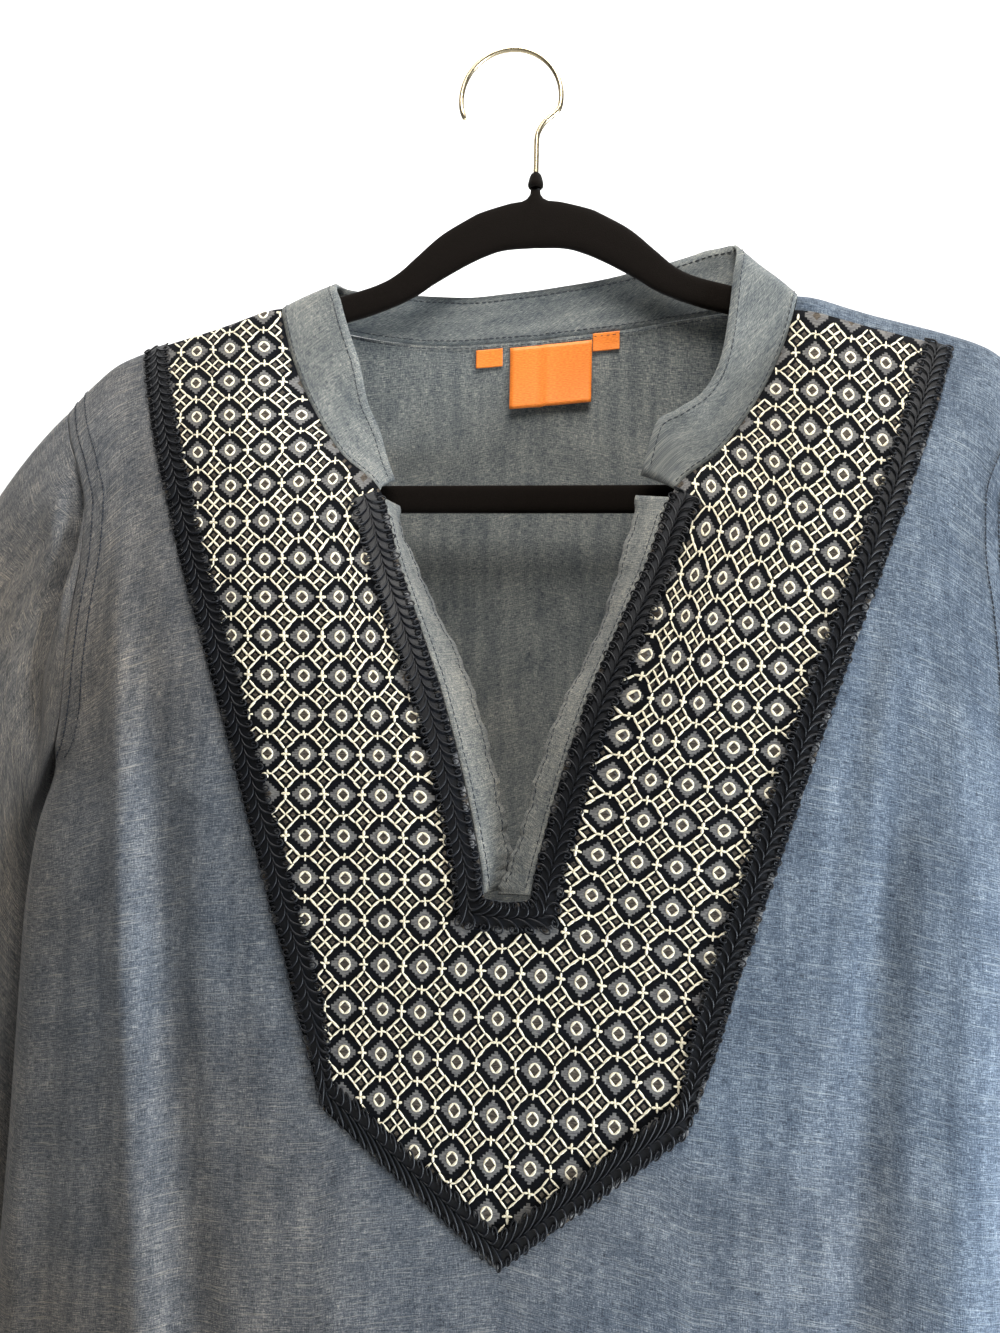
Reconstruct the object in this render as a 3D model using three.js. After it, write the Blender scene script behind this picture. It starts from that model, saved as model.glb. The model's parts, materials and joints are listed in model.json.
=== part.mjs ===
// Embroidered tunic on a hanger.
// A chambray tunic with a stand collar, an open V neck with turned-out binding strips,
// an embroidered bib edged with scroll braid, and long set-in sleeves, hung on a flat
// velvet hanger with a wire hook.
// Millimetres, +Z up. The front faces -Y. The origin is the inner top of the hook.
import * as THREE from 'three';

// ---------------------------------------------------------------- driving dimensions
const CENTRE_X = 12.5;          // the hanger's stem and the tunic's centre line
const CLOTH = 1.2;              // wall of the chambray, with its turnings
const BIB_CLOTH = 1.0;          // wall of the embroidered cloth
const COLLAR_CLOTH = 1.6;       // two layers and an interlining
const STRIP_CLOTH = 1.0;        // binding strips of the neck opening
const LABEL_CLOTH = 1.0;        // folded woven label
const SEAM_GAP = 0.3;           // between neighbouring pieces
const ARMHOLE_GAP = 0.8;        // where the sleeve turns away from the body
const COLLAR_GAP = 1.2;         // where the collar stands up from the neck seam
const STRIP_GAP = 1.3;          // where a binding strip turns in from the opening's edge
const LABEL_GAP = 0.7;          // between a hanging label and the back
const BRAID_GAP = 0.6;          // between the braid's cords and the bib
const BRAID_WIDTH = 12.4;
const BRAID_HEIGHT = 2.3;       // at the cords along the middle
const BRAID_EDGE = 1.4;         // at the loops along both sides
const SCALLOP = 0.7;            // how far the loops stand out past the mean edge

const SHOULDER_ROLL = 4.6;     // radius of the cloth over the hanger's arm
const FRONT_DEPTH = 55;         // how far the front falls forward of the hanger
const FRONT_FALL = 85;          // drop over which it does so
const BACK_DEPTH = 34;
const BACK_FALL = 140;
const BACK_NECK_HOLLOW = 6;     // the back neck hangs behind the arms
const SIDE_POWER = 3;           // roundness of the body towards its side seams
const EDGE_ROLL = 18;           // reach of the roll along the neck opening

const SLIT_ROW = 13;            // row of the foot of the neck opening
const COLLAR_ROW = 6;           // row of the collar's front end
const UNDERARM_ROW = 10;
const BIB_ROW = 19;             // row of the bib's pointed lower edge
const HEM_ROW = 24;
const BACK_NECK_ROW = 5;        // row of the back neck's lowest point
const BACK_HEM_ROW = 17;

const ARM_THICKNESS = 5.5;
const ARM_BEVEL = 1.2;
const LABEL_SEAM = -133.8;      // the labels' upper edge, just under the neck seam
const COLLAR_BULGE = 1.6;
const HOOK_WIRE = 2.6;
const HOOK_RADIUS = 23.6;       // of the wire's centre line
const HOOK_CENTRE = { x: 0, z: HOOK_WIRE / 2 - HOOK_RADIUS };

// Ridge of the shoulders: distance from the centre line, and height.
const SHOULDER = [
  { x: 0, z: -119.5 }, { x: 90, z: -119.5 }, { x: 119, z: -120 }, { x: 150, z: -129 },
  { x: 186, z: -139.5 }, { x: 200, z: -145 }, { x: 212, z: -154.5 }, { x: 225, z: -168 },
];

// Half of the front, a row for each level. edge: neck seam, then the opening's edge;
// inner: a braid's width away from it, then the centre front; bib: the bib's outer edge,
// and below it the same line; side: armhole, then side seam; reach: the body's half width.
// roll: how far the edge rolls back towards the hanger.
const FRONT_ROWS = [
  { v: 0, edge: [119, -120], inner: [131, -123.5], bib: [186, -139.5], side: [225, -168], reach: 250, roll: 0 },
  { v: 1, edge: [118.4, -124], inner: [130.4, -127.5], bib: [185.4, -143.5], side: [224, -172], reach: 250, roll: 0 },
  { v: 2, edge: [114.5, -140], inner: [126.4, -144], bib: [180, -160], side: [218.5, -185], reach: 248, roll: 8 },
  { v: 3, edge: [108, -157], inner: [119.6, -162], bib: [172.5, -182], side: [209, -202], reach: 246, roll: 14 },
  { v: 4, edge: [98.5, -175], inner: [109, -182.5], bib: [164.5, -204], side: [201.5, -222], reach: 243, roll: 18 },
  { v: 5, edge: [85, -194], inner: [93.5, -204], bib: [156.5, -226], side: [200.5, -244], reach: 241, roll: 20 },
  { v: 6, edge: [66, -211], inner: [77.5, -219], bib: [148.5, -248], side: [203, -268], reach: 238, roll: 21 },
  { v: 7, edge: [54.5, -244], inner: [66, -249], bib: [139, -273], side: [205, -290], reach: 234, roll: 17 },
  { v: 8, edge: [42.5, -273], inner: [54, -278], bib: [129.5, -300], side: [206.5, -310], reach: 229, roll: 12 },
  { v: 9, edge: [31.5, -301], inner: [43, -306], bib: [120, -328], side: [210.5, -327], reach: 224.5, roll: 8.5 },
  { v: 10, edge: [22.8, -328], inner: [34.6, -332], bib: [111.5, -354], side: [220, -339], reach: 220, roll: 6 },
  { v: 11, edge: [16, -353], inner: [28, -356], bib: [103, -380], side: [228, -368], reach: 228, roll: 4 },
  { v: 12, edge: [11, -375], inner: [23.1, -378], bib: [97, -399], side: [231.5, -394], reach: 231.5, roll: 2 },
  { v: 13, edge: [9, -384.5], inner: [20, -397], bib: [92, -413], side: [233, -414], reach: 233, roll: 0 },
  { v: 14, edge: [0, -386], inner: [0, -398.5], bib: [89, -424], side: [233.5, -430], reach: 233.5, roll: 0 },
  { v: 15, edge: [0, -386], inner: [0, -436], bib: [86, -434], side: [234, -446], reach: 234, roll: 0 },
  { v: 16, edge: [0, -386], inner: [0, -476], bib: [83.2, -443], side: [234.5, -462], reach: 234.5, roll: 0 },
  { v: 17, edge: [0, -386], inner: [0, -515], bib: [80.4, -451.6], side: [235, -478], reach: 235, roll: 0 },
  { v: 18, edge: [0, -386], inner: [0, -523], bib: [77, -462.3], side: [235.5, -492], reach: 235.5, roll: 0 },
  { v: 19, edge: [0, -386], inner: [0, -531], bib: [73.5, -473], side: [236, -506], reach: 236, roll: 0 },
  { v: 20, edge: [0, -386], inner: [0, -562], bib: [76, -536], side: [238, -546], reach: 238, roll: 0 },
  { v: 21, edge: [0, -386], inner: [0, -622], bib: [80, -612], side: [243, -612], reach: 243, roll: 0 },
  { v: 22, edge: [0, -386], inner: [0, -700], bib: [84, -697], side: [249, -694], reach: 249, roll: 0 },
  { v: 23, edge: [0, -386], inner: [0, -778], bib: [88, -777], side: [255, -772], reach: 255, roll: 0 },
  { v: 24, edge: [0, -386], inner: [0, -854], bib: [92, -853], side: [261, -846], reach: 261, roll: 0 },
];

// Half of the back: the neck seam and then the centre back; the armhole and side seam.
const BACK_ROWS = [
  { v: 0, inner: [119, -120], side: [225, -168], reach: 250 },
  { v: 1, inner: [114, -123.5], side: [224, -172], reach: 250 },
  { v: 2, inner: [97, -125.5], side: [217.5, -187], reach: 247 },
  { v: 3, inner: [72, -129], side: [210, -204], reach: 245 },
  { v: 4, inner: [40, -132], side: [205, -222], reach: 243 },
  { v: 5, inner: [0, -133], side: [203.5, -240], reach: 241 },
  { v: 6, inner: [0, -160], side: [204.5, -262], reach: 239 },
  { v: 7, inner: [0, -196], side: [206, -285], reach: 235 },
  { v: 8, inner: [0, -238], side: [208, -306], reach: 230 },
  { v: 9, inner: [0, -284], side: [212, -324], reach: 225 },
  { v: 10, inner: [0, -334], side: [220, -339], reach: 220 },
  { v: 11, inner: [0, -394], side: [231.5, -394], reach: 231.5 },
  { v: 12, inner: [0, -462], side: [234.5, -462], reach: 234.5 },
  { v: 13, inner: [0, -534], side: [237.5, -536], reach: 237.5 },
  { v: 14, inner: [0, -612], side: [243, -612], reach: 243 },
  { v: 15, inner: [0, -694], side: [249, -694], reach: 249 },
  { v: 16, inner: [0, -775], side: [255, -772], reach: 255 },
  { v: 17, inner: [0, -856], side: [261, -846], reach: 261 },
];

// Soft folds that fall down the cloth: where each starts and how it runs to the hem,
// its half width, and how far it stands out (or in, below zero).
const FRONT_FOLDS = [
  { xTop: -182, xHem: -124, top: -215, half: 13, height: 5 },
  { xTop: -164, xHem: -96, top: -255, half: 12, height: -5.5 },
  { xTop: -206, xHem: -196, top: -330, half: 15, height: -5 },
  { xTop: 158, xHem: 118, top: -250, half: 11, height: -4.5 },
  { xTop: 182, xHem: 168, top: -270, half: 14, height: 5.5 },
  { xTop: 203, xHem: 214, top: -360, half: 14, height: -5 },
  { xTop: -40, xHem: -52, top: -560, half: 20, height: 7 },
  { xTop: 12, xHem: 6, top: -575, half: 18, height: -7 },
  { xTop: 58, xHem: 66, top: -550, half: 20, height: 6.5 },
];
const BACK_FOLDS = [
  { xTop: -168, xHem: -176, top: -230, half: 16, height: 6 },
  { xTop: -118, xHem: -112, top: -300, half: 18, height: -6 },
  { xTop: -52, xHem: -46, top: -340, half: 20, height: 6.5 },
  { xTop: 48, xHem: 58, top: -300, half: 19, height: -6 },
  { xTop: 112, xHem: 124, top: -260, half: 18, height: 6 },
  { xTop: 170, xHem: 186, top: -330, half: 16, height: -6 },
];
const FOLD_RUN_IN = 150;        // length over which a fold comes in

// Sleeve, by length t from the armhole to the hem of the cuff: the line of its inner
// edge, of its outer edge, and half its depth when hung.
const SLEEVE_ROWS = [
  { t: 0, inner: [224, -340], outer: [238, -184], depth: 26 },
  { t: 0.2, inner: [232, -368], outer: [290, -262], depth: 34 },
  { t: 0.4, inner: [237, -430], outer: [332, -378], depth: 38 },
  { t: 0.7, inner: [247, -585], outer: [356, -562], depth: 31 },
  { t: 1, inner: [264, -762], outer: [368, -748], depth: 23 },
];
// Angle round the sleeve (0 at the shoulder, 180 at the underarm) against armhole rows.
const SLEEVE_TURN = [
  { v: 0, angle: 0 }, { v: 1, angle: 5 }, { v: 2, angle: 21 }, { v: 3, angle: 42 }, { v: 4, angle: 64 },
  { v: 5, angle: 85 }, { v: 6, angle: 106 }, { v: 7, angle: 125 }, { v: 8, angle: 143 }, { v: 9, angle: 160 },
  { v: 10, angle: 180 },
];
const SLEEVE_BLEND = 0.4;       // length over which the armhole turns into the tube
const SLEEVE_REACH = 190;       // how far the cloth would run straight on from the armhole
// Long folds in a sleeve: angle round it (0 outer edge, 90 front), half angle, height.
const SLEEVE_FOLDS = [
  { angle: 58, half: 14, height: -7 }, { angle: 100, half: 16, height: 4 },
  { angle: 252, half: 17, height: -6 }, { angle: 306, half: 15, height: 4 },
];

// Collar: each station's place on the neck seam, by panel, row and side (-1 left,
// 1 right), and the collar's free edge there.
const COLLAR_STATIONS = [
  { panel: 'front', side: -1, v: 6, x: -62, y: -8, z: -204 },
  { panel: 'front', side: -1, v: 5.5, x: -66.5, y: -6.5, z: -192 },
  { panel: 'front', side: -1, v: 5, x: -69.5, y: -5.8, z: -182 },
  { panel: 'front', side: -1, v: 4, x: -76, y: -5.6, z: -167 },
  { panel: 'front', side: -1, v: 3, x: -80, y: -6.2, z: -150 },
  { panel: 'front', side: -1, v: 2, x: -85.5, y: -6.6, z: -134 },
  { panel: 'front', side: -1, v: 1, x: -91, y: -5.4, z: -117 },
  { panel: 'front', side: -1, v: 0.4, x: -93.4, y: -3, z: -111.5 },
  { panel: 'back', side: -1, v: 0, x: -94, y: 0.2, z: -108.5 },
  { panel: 'back', side: -1, v: 0.4, x: -92.6, y: 3, z: -108.8 },
  { panel: 'back', side: -1, v: 1, x: -88, y: 5.4, z: -109.5 },
  { panel: 'back', side: -1, v: 2, x: -76, y: 8.6, z: -110 },
  { panel: 'back', side: -1, v: 3, x: -58, y: 11, z: -110.5 },
  { panel: 'back', side: -1, v: 4, x: -33, y: 13, z: -111.5 },
  { panel: 'back', side: 1, v: 5, x: 0, y: 14, z: -108.5 },
  { panel: 'back', side: 1, v: 4, x: 37, y: 13, z: -103.5 },
  { panel: 'back', side: 1, v: 3, x: 62, y: 11, z: -98.5 },
  { panel: 'back', side: 1, v: 2, x: 80, y: 8.6, z: -94 },
  { panel: 'back', side: 1, v: 1, x: 90, y: 5, z: -93.5 },
  { panel: 'back', side: 1, v: 0.4, x: 92.2, y: 2.4, z: -95 },
  { panel: 'back', side: 1, v: 0, x: 92.5, y: -0.4, z: -98.5 },
  { panel: 'front', side: 1, v: 0.4, x: 92, y: -3, z: -102.5 },
  { panel: 'front', side: 1, v: 1, x: 91, y: -5.6, z: -108 },
  { panel: 'front', side: 1, v: 2, x: 88.5, y: -9, z: -131 },
  { panel: 'front', side: 1, v: 3, x: 85, y: -11, z: -151 },
  { panel: 'front', side: 1, v: 4, x: 77.5, y: -12.5, z: -166 },
  { panel: 'front', side: 1, v: 5, x: 66.5, y: -13, z: -174 },
  { panel: 'front', side: 1, v: 5.5, x: 58.5, y: -12, z: -178 },
  { panel: 'front', side: 1, v: 6, x: 51, y: -11, z: -203 },
];

// Binding strips of the neck opening, turned inwards: the free edge at each row.
const STRIP_STATIONS = {
  left: [
    { v: 6.15, x: -60, y: -7.5, z: -216 }, { v: 6.6, x: -56.5, y: -9.5, z: -231 },
    { v: 7, x: -49, y: -13, z: -245 }, { v: 7.6, x: -41, y: -16, z: -262 },
    { v: 8.1, x: -31, y: -21.5, z: -279 }, { v: 8.6, x: -23.5, y: -25, z: -293 },
    { v: 9.2, x: -17, y: -31, z: -309 }, { v: 10, x: -9.5, y: -37, z: -331 },
    { v: 11, x: -3.4, y: -41, z: -354 }, { v: 12, x: 0, y: -42.6, z: -373 },
    { v: 12.7, x: -1, y: -40.5, z: -383 },
  ],
  right: [
    { v: 6.15, x: 49.5, y: -11, z: -212 }, { v: 6.6, x: 46.5, y: -14, z: -228 },
    { v: 7, x: 42.5, y: -18, z: -243 }, { v: 7.6, x: 37.5, y: -20.5, z: -262 },
    { v: 8.1, x: 32, y: -26, z: -279 }, { v: 8.6, x: 25, y: -29.5, z: -294 },
    { v: 9.2, x: 18.5, y: -36, z: -308 }, { v: 10, x: 11, y: -42.5, z: -331 },
    { v: 11, x: 5, y: -46.5, z: -355 }, { v: 12, x: -1, y: -48.6, z: -374 },
    { v: 12.7, x: -5, y: -49.4, z: -384.5 },
  ],
};

// Woven labels on the inside of the back neck: left edge and width along the seam, drop,
// and how far the lower edge hangs clear of the cloth.
const LABELS = [
  { name: 'label_main', x: -12, width: 39, drop: 29, top: -1.5, lift: 2.4 },
  { name: 'label_size', x: 27.4, width: 12.6, drop: 8.2, top: 1.2, lift: 0.4 },
  { name: 'label_origin', x: -28.4, width: 12.8, drop: 8.4, top: -1.2, lift: 0.4 },
];

// Hanger outline: upper and lower line of each arm, from the stem outwards.
const ARM_TOP = [
  [2.2, -66], [2.6, -69], [5.5, -71.6], [12, -72.6], [25, -76.2], [31, -79], [44, -86.6], [56, -97],
  [64, -104], [73, -109], [88, -113.6], [119, -121.6], [150, -130.7], [186, -141.4], [198, -146.6],
];
const ARM_END = [[204.6, -152], [207.6, -159],[207, -168], [202.5, -180], [195, -194], [187, -205], [179, -212], [168, -217], [150, -218]];
const GAP_LINE = [
  [148, -205], [166, -204.2], [175, -200], [184, -190], [191.5, -176], [194.5, -167], [192, -160.5], [186, -158],
  [150, -146.5], [119, -136.8], [90, -127.4], [78, -124], [65, -119.4], [55, -114.6], [48, -110], [35, -102.6],
  [24, -97.4], [14, -94.4],
];

// ---------------------------------------------------------------- curves and tables
// Value of a table's column at v, on a curve that passes through every row and never
// swings past it.
function along(rows, key, column, v) {
  const value = (i) => (typeof column === 'number' ? rows[i][key][column] : rows[i][key]);
  const at = (i) => rows[i].v ?? rows[i].x ?? rows[i].t;
  const last = rows.length - 1;
  let i = 0;
  while (i < last - 1 && v > at(i + 1)) i += 1;
  const slope = (k) => (value(k + 1) - value(k)) / (at(k + 1) - at(k));
  const tangent = (k) => {
    if (k === 0) return slope(0);
    if (k === last) return slope(last - 1);
    const before = slope(k - 1);
    const after = slope(k);
    return before * after <= 0 ? 0 : (2 * before * after) / (before + after);
  };
  const h = at(i + 1) - at(i);
  const s = Math.min(Math.max((v - at(i)) / h, 0), 1);
  const s2 = s * s;
  const s3 = s2 * s;
  return (2 * s3 - 3 * s2 + 1) * value(i) + (s3 - 2 * s2 + s) * h * tangent(i)
    + (3 * s2 - 2 * s3) * value(i + 1) + (s3 - s2) * h * tangent(i + 1);
}
const shoulderHeight = (x) => along(SHOULDER, 'z', null, Math.min(Math.abs(x), 225));
const mix = (a, b, s) => a + (b - a) * s;
const smoothstep = (s) => {
  const c = Math.min(Math.max(s, 0), 1);
  return c * c * (3 - 2 * c);
};

// Height of the soft folds at a place on the cloth.
function foldHeight(folds, x, z) {
  let sum = 0;
  for (const fold of folds) {
    const run = smoothstep((fold.top - z) / FOLD_RUN_IN);
    const line = mix(fold.xTop, fold.xHem, (fold.top - z) / (fold.top + 850));
    sum += fold.height * run * Math.exp(-(((x - line) / fold.half) ** 2));
  }
  return sum;
}

// Distance of the cloth from the hanger's plane: it rolls over the arm, falls away from
// it, and comes back to the side seams.
function clothDepth(x, z, reach, depth, fall) {
  const drop = Math.max(shoulderHeight(x) - z, 0);
  const left = SHOULDER_ROLL - Math.min(drop, SHOULDER_ROLL);
  const roll = Math.sqrt(SHOULDER_ROLL ** 2 - left ** 2);
  const out = depth * (1 - Math.exp(-drop / fall));
  const side = (1 - Math.min(Math.abs(x) / reach, 1) ** SIDE_POWER) ** (1 / SIDE_POWER);
  return { base: roll * Math.min(1.6 * side, 1) + out * side, side };
}

// ---------------------------------------------------------------- front
// Row of the front at v, and a place on it: w runs 0..1 over the strip beside the
// opening, 1..2 over the bib's field, 2..3 under its outer braid and 3..4 to the side.
const MITRE = 1.06;             // rows cross the bib's edge a little aslant
function rowStations(v) {
  const pick = (key) => [along(FRONT_ROWS, key, 0, v), along(FRONT_ROWS, key, 1, v)];
  const [edge, inner, bib, side] = ['edge', 'inner', 'bib', 'side'].map(pick);
  const s = (BRAID_WIDTH * MITRE) / Math.hypot(inner[0] - bib[0], inner[1] - bib[1]);
  const braid = [mix(bib[0], inner[0], s), mix(bib[1], inner[1], s)];
  return [edge, inner, braid, bib, side];
}
function frontPlan(v, w) {
  const stations = rowStations(v);
  const k = Math.min(Math.floor(w), 3);
  const x = mix(stations[k][0], stations[k + 1][0], w - k);
  let z = mix(stations[k][1], stations[k + 1][1], w - k);
  if (v < 4) {                    // the top rows follow the curve of the shoulder
    const top = rowStations(0);
    const straight = mix(top[k][1], top[k + 1][1], w - k);
    z += (shoulderHeight(mix(top[k][0], top[k + 1][0], w - k)) - straight) * (1 - smoothstep(v / 4));
  }
  return [x, z];
}
function frontPoint(v, w, side) {
  const [x, z] = frontPlan(v, w);
  const cloth = clothDepth(x, z, along(FRONT_ROWS, 'reach', null, v), FRONT_DEPTH, FRONT_FALL);
  const edge = along(FRONT_ROWS, 'edge', 0, v);
  const turn = along(FRONT_ROWS, 'roll', null, v) * Math.exp(-Math.max(x - edge, 0) / EDGE_ROLL);
  const folds = foldHeight(FRONT_FOLDS, side * x, z) * cloth.side;
  const y = -(SEAM_GAP / 2 + cloth.base - turn + folds);
  return new THREE.Vector3(CENTRE_X + side * x, y, z);
}

// ---------------------------------------------------------------- back
const BACK_TILT = 0.075;        // the back neck hangs lower on the left
const BACK_REACH = 241;
const neckShare = (x) => Math.max(1 - (x / 119) ** 2, 0);
function backDepth(x, z, reach, side) {
  const cloth = clothDepth(x, z, reach, BACK_DEPTH, BACK_FALL);
  const hollow = BACK_NECK_HOLLOW * neckShare(x) * Math.exp(-Math.max(-135 - z, 0) / 90);
  return SEAM_GAP / 2 + cloth.base + hollow + foldHeight(BACK_FOLDS, side * x, z) * cloth.side;
}
function backPoint(v, w, side) {
  const inner = [along(BACK_ROWS, 'inner', 0, v), along(BACK_ROWS, 'inner', 1, v)];
  const outer = [along(BACK_ROWS, 'side', 0, v), along(BACK_ROWS, 'side', 1, v)];
  const x = mix(inner[0], outer[0], w);
  let z = mix(inner[1], outer[1], w);
  if (v < 4) {
    const x0 = mix(119, 225, w);
    z += (shoulderHeight(x0) - mix(-120, -168, w)) * (1 - smoothstep(v / 4));
  }
  z += BACK_TILT * side * x * neckShare(x) * Math.exp(-Math.max(v - BACK_NECK_ROW, 0) / 2);
  return new THREE.Vector3(CENTRE_X + side * x, backDepth(x, z, along(BACK_ROWS, 'reach', null, v), side), z);
}

// ---------------------------------------------------------------- sleeves
// Place at an angle round the sleeve and a length t along it: near the armhole the cloth
// runs on from the body, and further down it hangs as a flattened tube.
function sleevePoint(angle, t, side) {
  const onFront = angle <= 180;
  const turn = onFront ? angle : 360 - angle;
  let v = 0;
  for (let k = 0; k + 1 < SLEEVE_TURN.length; k += 1) {
    const [a, b] = [SLEEVE_TURN[k], SLEEVE_TURN[k + 1]];
    if (turn >= a.angle) v = mix(a.v, b.v, Math.min((turn - a.angle) / (b.angle - a.angle), 1));
  }
  const at = (w) => (onFront ? frontPoint(v, 4 * w, side) : backPoint(v, w, side));
  const edge = at(1);
  const tangent = edge.clone().sub(at(0.985)).normalize();
  if (turn < 1 || turn > 179) edge.y = 0;
  const down = (1 - Math.cos((turn * Math.PI) / 180)) / 2;
  const leave = new THREE.Vector3(side * mix(0.75, 0.4, down), 0.2 * tangent.y, -mix(0.66, 0.92, down));
  const rows = onFront ? FRONT_ROWS : BACK_ROWS;
  const run = [0, 1].map((k) => along(rows, 'side', k, v + 0.1) - along(rows, 'side', k, Math.max(v - 0.1, 0)));
  const gap = (ARMHOLE_GAP * (1 + (1 - 2 * down) ** 4)) / Math.hypot(...run);
  const start = edge.add(new THREE.Vector3(-side * run[1] * gap, 0, run[0] * gap));
  start.addScaledVector(leave, SLEEVE_REACH * t);

  const [ix, iz, ox, oz, depth] = [['inner', 0], ['inner', 1], ['outer', 0], ['outer', 1], ['depth', null]]
    .map(([key, column]) => along(SLEEVE_ROWS, key, column, t));
  const c = Math.cos((angle * Math.PI) / 180);
  const s = Math.sin((angle * Math.PI) / 180);
  const folds = SLEEVE_FOLDS.reduce((sum, fold) => (
    sum + fold.height * Math.exp(-(((angle - fold.angle) / fold.half) ** 2))), 0);
  const tube = new THREE.Vector3(
    CENTRE_X + side * mix(ix, ox, (1 + c) / 2),
    -s * depth - Math.sign(s) * Math.abs(s) * folds * smoothstep(t / 0.2),
    mix(iz, oz, (1 + c) / 2),
  );
  return start.lerp(tube, smoothstep(t / SLEEVE_BLEND));
}

// ---------------------------------------------------------------- meshes
// A sheet is a list of points and of four-cornered cells whose corners run anticlockwise
// seen from outside.
class Sheet {
  constructor() {
    this.points = [];
    this.cells = [];
    this.index = new Map();
  }

  point(p) {
    const key = `${Math.round(p.x * 500)},${Math.round(p.y * 500)},${Math.round(p.z * 500)}`;
    if (!this.index.has(key)) {
      this.index.set(key, this.points.length);
      this.points.push(p);
    }
    return this.index.get(key);
  }

  grid(us, ws, at, flip = false) {
    const ids = us.map((u) => ws.map((w) => this.point(at(u, w))));
    for (let i = 0; i + 1 < us.length; i += 1) {
      for (let j = 0; j + 1 < ws.length; j += 1) {
        const cell = [ids[i][j], ids[i + 1][j], ids[i + 1][j + 1], ids[i][j + 1]];
        this.cells.push(flip ? cell.reverse() : cell);
      }
    }
    return this;
  }

  triangles() {
    const list = [];
    for (const [a, b, c, d] of this.cells) {
      for (const t of [[a, b, c], [a, c, d]]) {
        if (t[0] !== t[1] && t[1] !== t[2] && t[2] !== t[0]) list.push(t);
      }
    }
    return list;
  }

  normals(triangles) {
    const sums = this.points.map(() => new THREE.Vector3());
    const ab = new THREE.Vector3();
    const ac = new THREE.Vector3();
    for (const [a, b, c] of triangles) {
      ab.subVectors(this.points[b], this.points[a]);
      ac.subVectors(this.points[c], this.points[a]);
      ab.cross(ac);
      for (const k of [a, b, c]) sums[k].add(ab);
    }
    // Where front and back meet, the wall stands square to the seam.
    sums.forEach((n, k) => {
      if (Math.abs(this.points[k].y) < SEAM_GAP) n.y = 0;
    });
    return sums.map((n) => n.normalize());
  }
}

function solid(name, positions, triangles, material) {
  const at = (k) => new THREE.Vector3().fromArray(positions, 3 * k);
  const volume = triangles.reduce((sum, [a, b, c]) => sum + at(a).dot(at(b).cross(at(c))), 0);
  if (volume < 0) triangles.forEach((t) => t.reverse());
  const geometry = new THREE.BufferGeometry();
  geometry.setAttribute('position', new THREE.Float32BufferAttribute(positions, 3));
  geometry.setIndex(triangles.flat());
  geometry.computeVertexNormals();
  const mesh = new THREE.Mesh(geometry, material);
  mesh.name = name;
  return mesh;
}

// The sheet with a wall between the distances low and high, measured outwards from it.
function wall(name, sheet, low, high, material, normalAt = null) {
  const triangles = sheet.triangles();
  const normals = normalAt ? sheet.points.map(normalAt) : sheet.normals(triangles);
  const count = sheet.points.length;
  const positions = [];
  for (const distance of [high, low]) {
    sheet.points.forEach((p, k) => {
      positions.push(p.x + normals[k].x * distance, p.y + normals[k].y * distance, p.z + normals[k].z * distance);
    });
  }
  const faces = [];
  const edges = new Set(triangles.flatMap(([a, b, c]) => [`${a},${b}`, `${b},${c}`, `${c},${a}`]));
  for (const [a, b, c] of triangles) {
    faces.push([a, b, c], [a + count, c + count, b + count]);
    for (const [p, q] of [[a, b], [b, c], [c, a]]) {
      if (!edges.has(`${q},${p}`)) faces.push([q, p, p + count], [q, p + count, q + count]);
    }
  }
  return solid(name, positions, faces, material);
}

const range = (from, to, steps) => Array.from({ length: steps + 1 }, (_, k) => mix(from, to, k / steps));
const rowsBetween = (from, to) => Array.from({ length: to - from + 1 }, (_, k) => from + k);

// ---------------------------------------------------------------- materials
const cloth = (color) => new THREE.MeshStandardMaterial({ color, roughness: 0.92, metalness: 0 });
const chambray = cloth(0x6c7785);
const embroidery = cloth(0x8b8a84);
const braidCord = cloth(0x141b2a);
const labelWeave = cloth(0xf58a2c);
const velvet = cloth(0x14110e);
const hookMetal = new THREE.MeshStandardMaterial({ color: 0xb5a88c, roughness: 0.35, metalness: 0.9 });

const TOP_ROWS = [0, 0.22, 0.55, 1, 1.4];
const STRIP_COLUMNS = [0, 0.5, 1];
const FIELD_COLUMNS = [1, 1.25, 1.5, 1.75, 2];
const BRAID_COLUMNS = [2, 2.5, 3];
const SIDE_COLUMNS = [3, 3.3, 3.6, 3.84, 4];
const frontRows = [...TOP_ROWS, ...rowsBetween(2, HEM_ROW)];
const slitRows = frontRows.filter((v) => v <= SLIT_ROW + 1);

const frontSheet = new Sheet();
for (const side of [-1, 1]) {
  const at = (v, w) => frontPoint(v, w, side);
  frontSheet.grid(slitRows, STRIP_COLUMNS, at, side < 0);
  frontSheet.grid(frontRows, [...FIELD_COLUMNS, ...BRAID_COLUMNS.slice(1), ...SIDE_COLUMNS.slice(1)], at, side < 0);
}
const frontNormals = frontSheet.normals(frontSheet.triangles());
const frontNormal = (p) => frontNormals[frontSheet.point(p)];

function buildBack() {
  const sheet = new Sheet();
  const across = [0, 0.14, 0.28, 0.42, 0.56, 0.7, 0.82, 0.91, 0.965, 1];
  for (const side of [-1, 1]) {
    sheet.grid([...TOP_ROWS, ...rowsBetween(2, BACK_HEM_ROW)], across, (v, w) => backPoint(v, w, side), side > 0);
  }
  return wall('back', sheet, -CLOTH / 2, CLOTH / 2, chambray);
}

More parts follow.
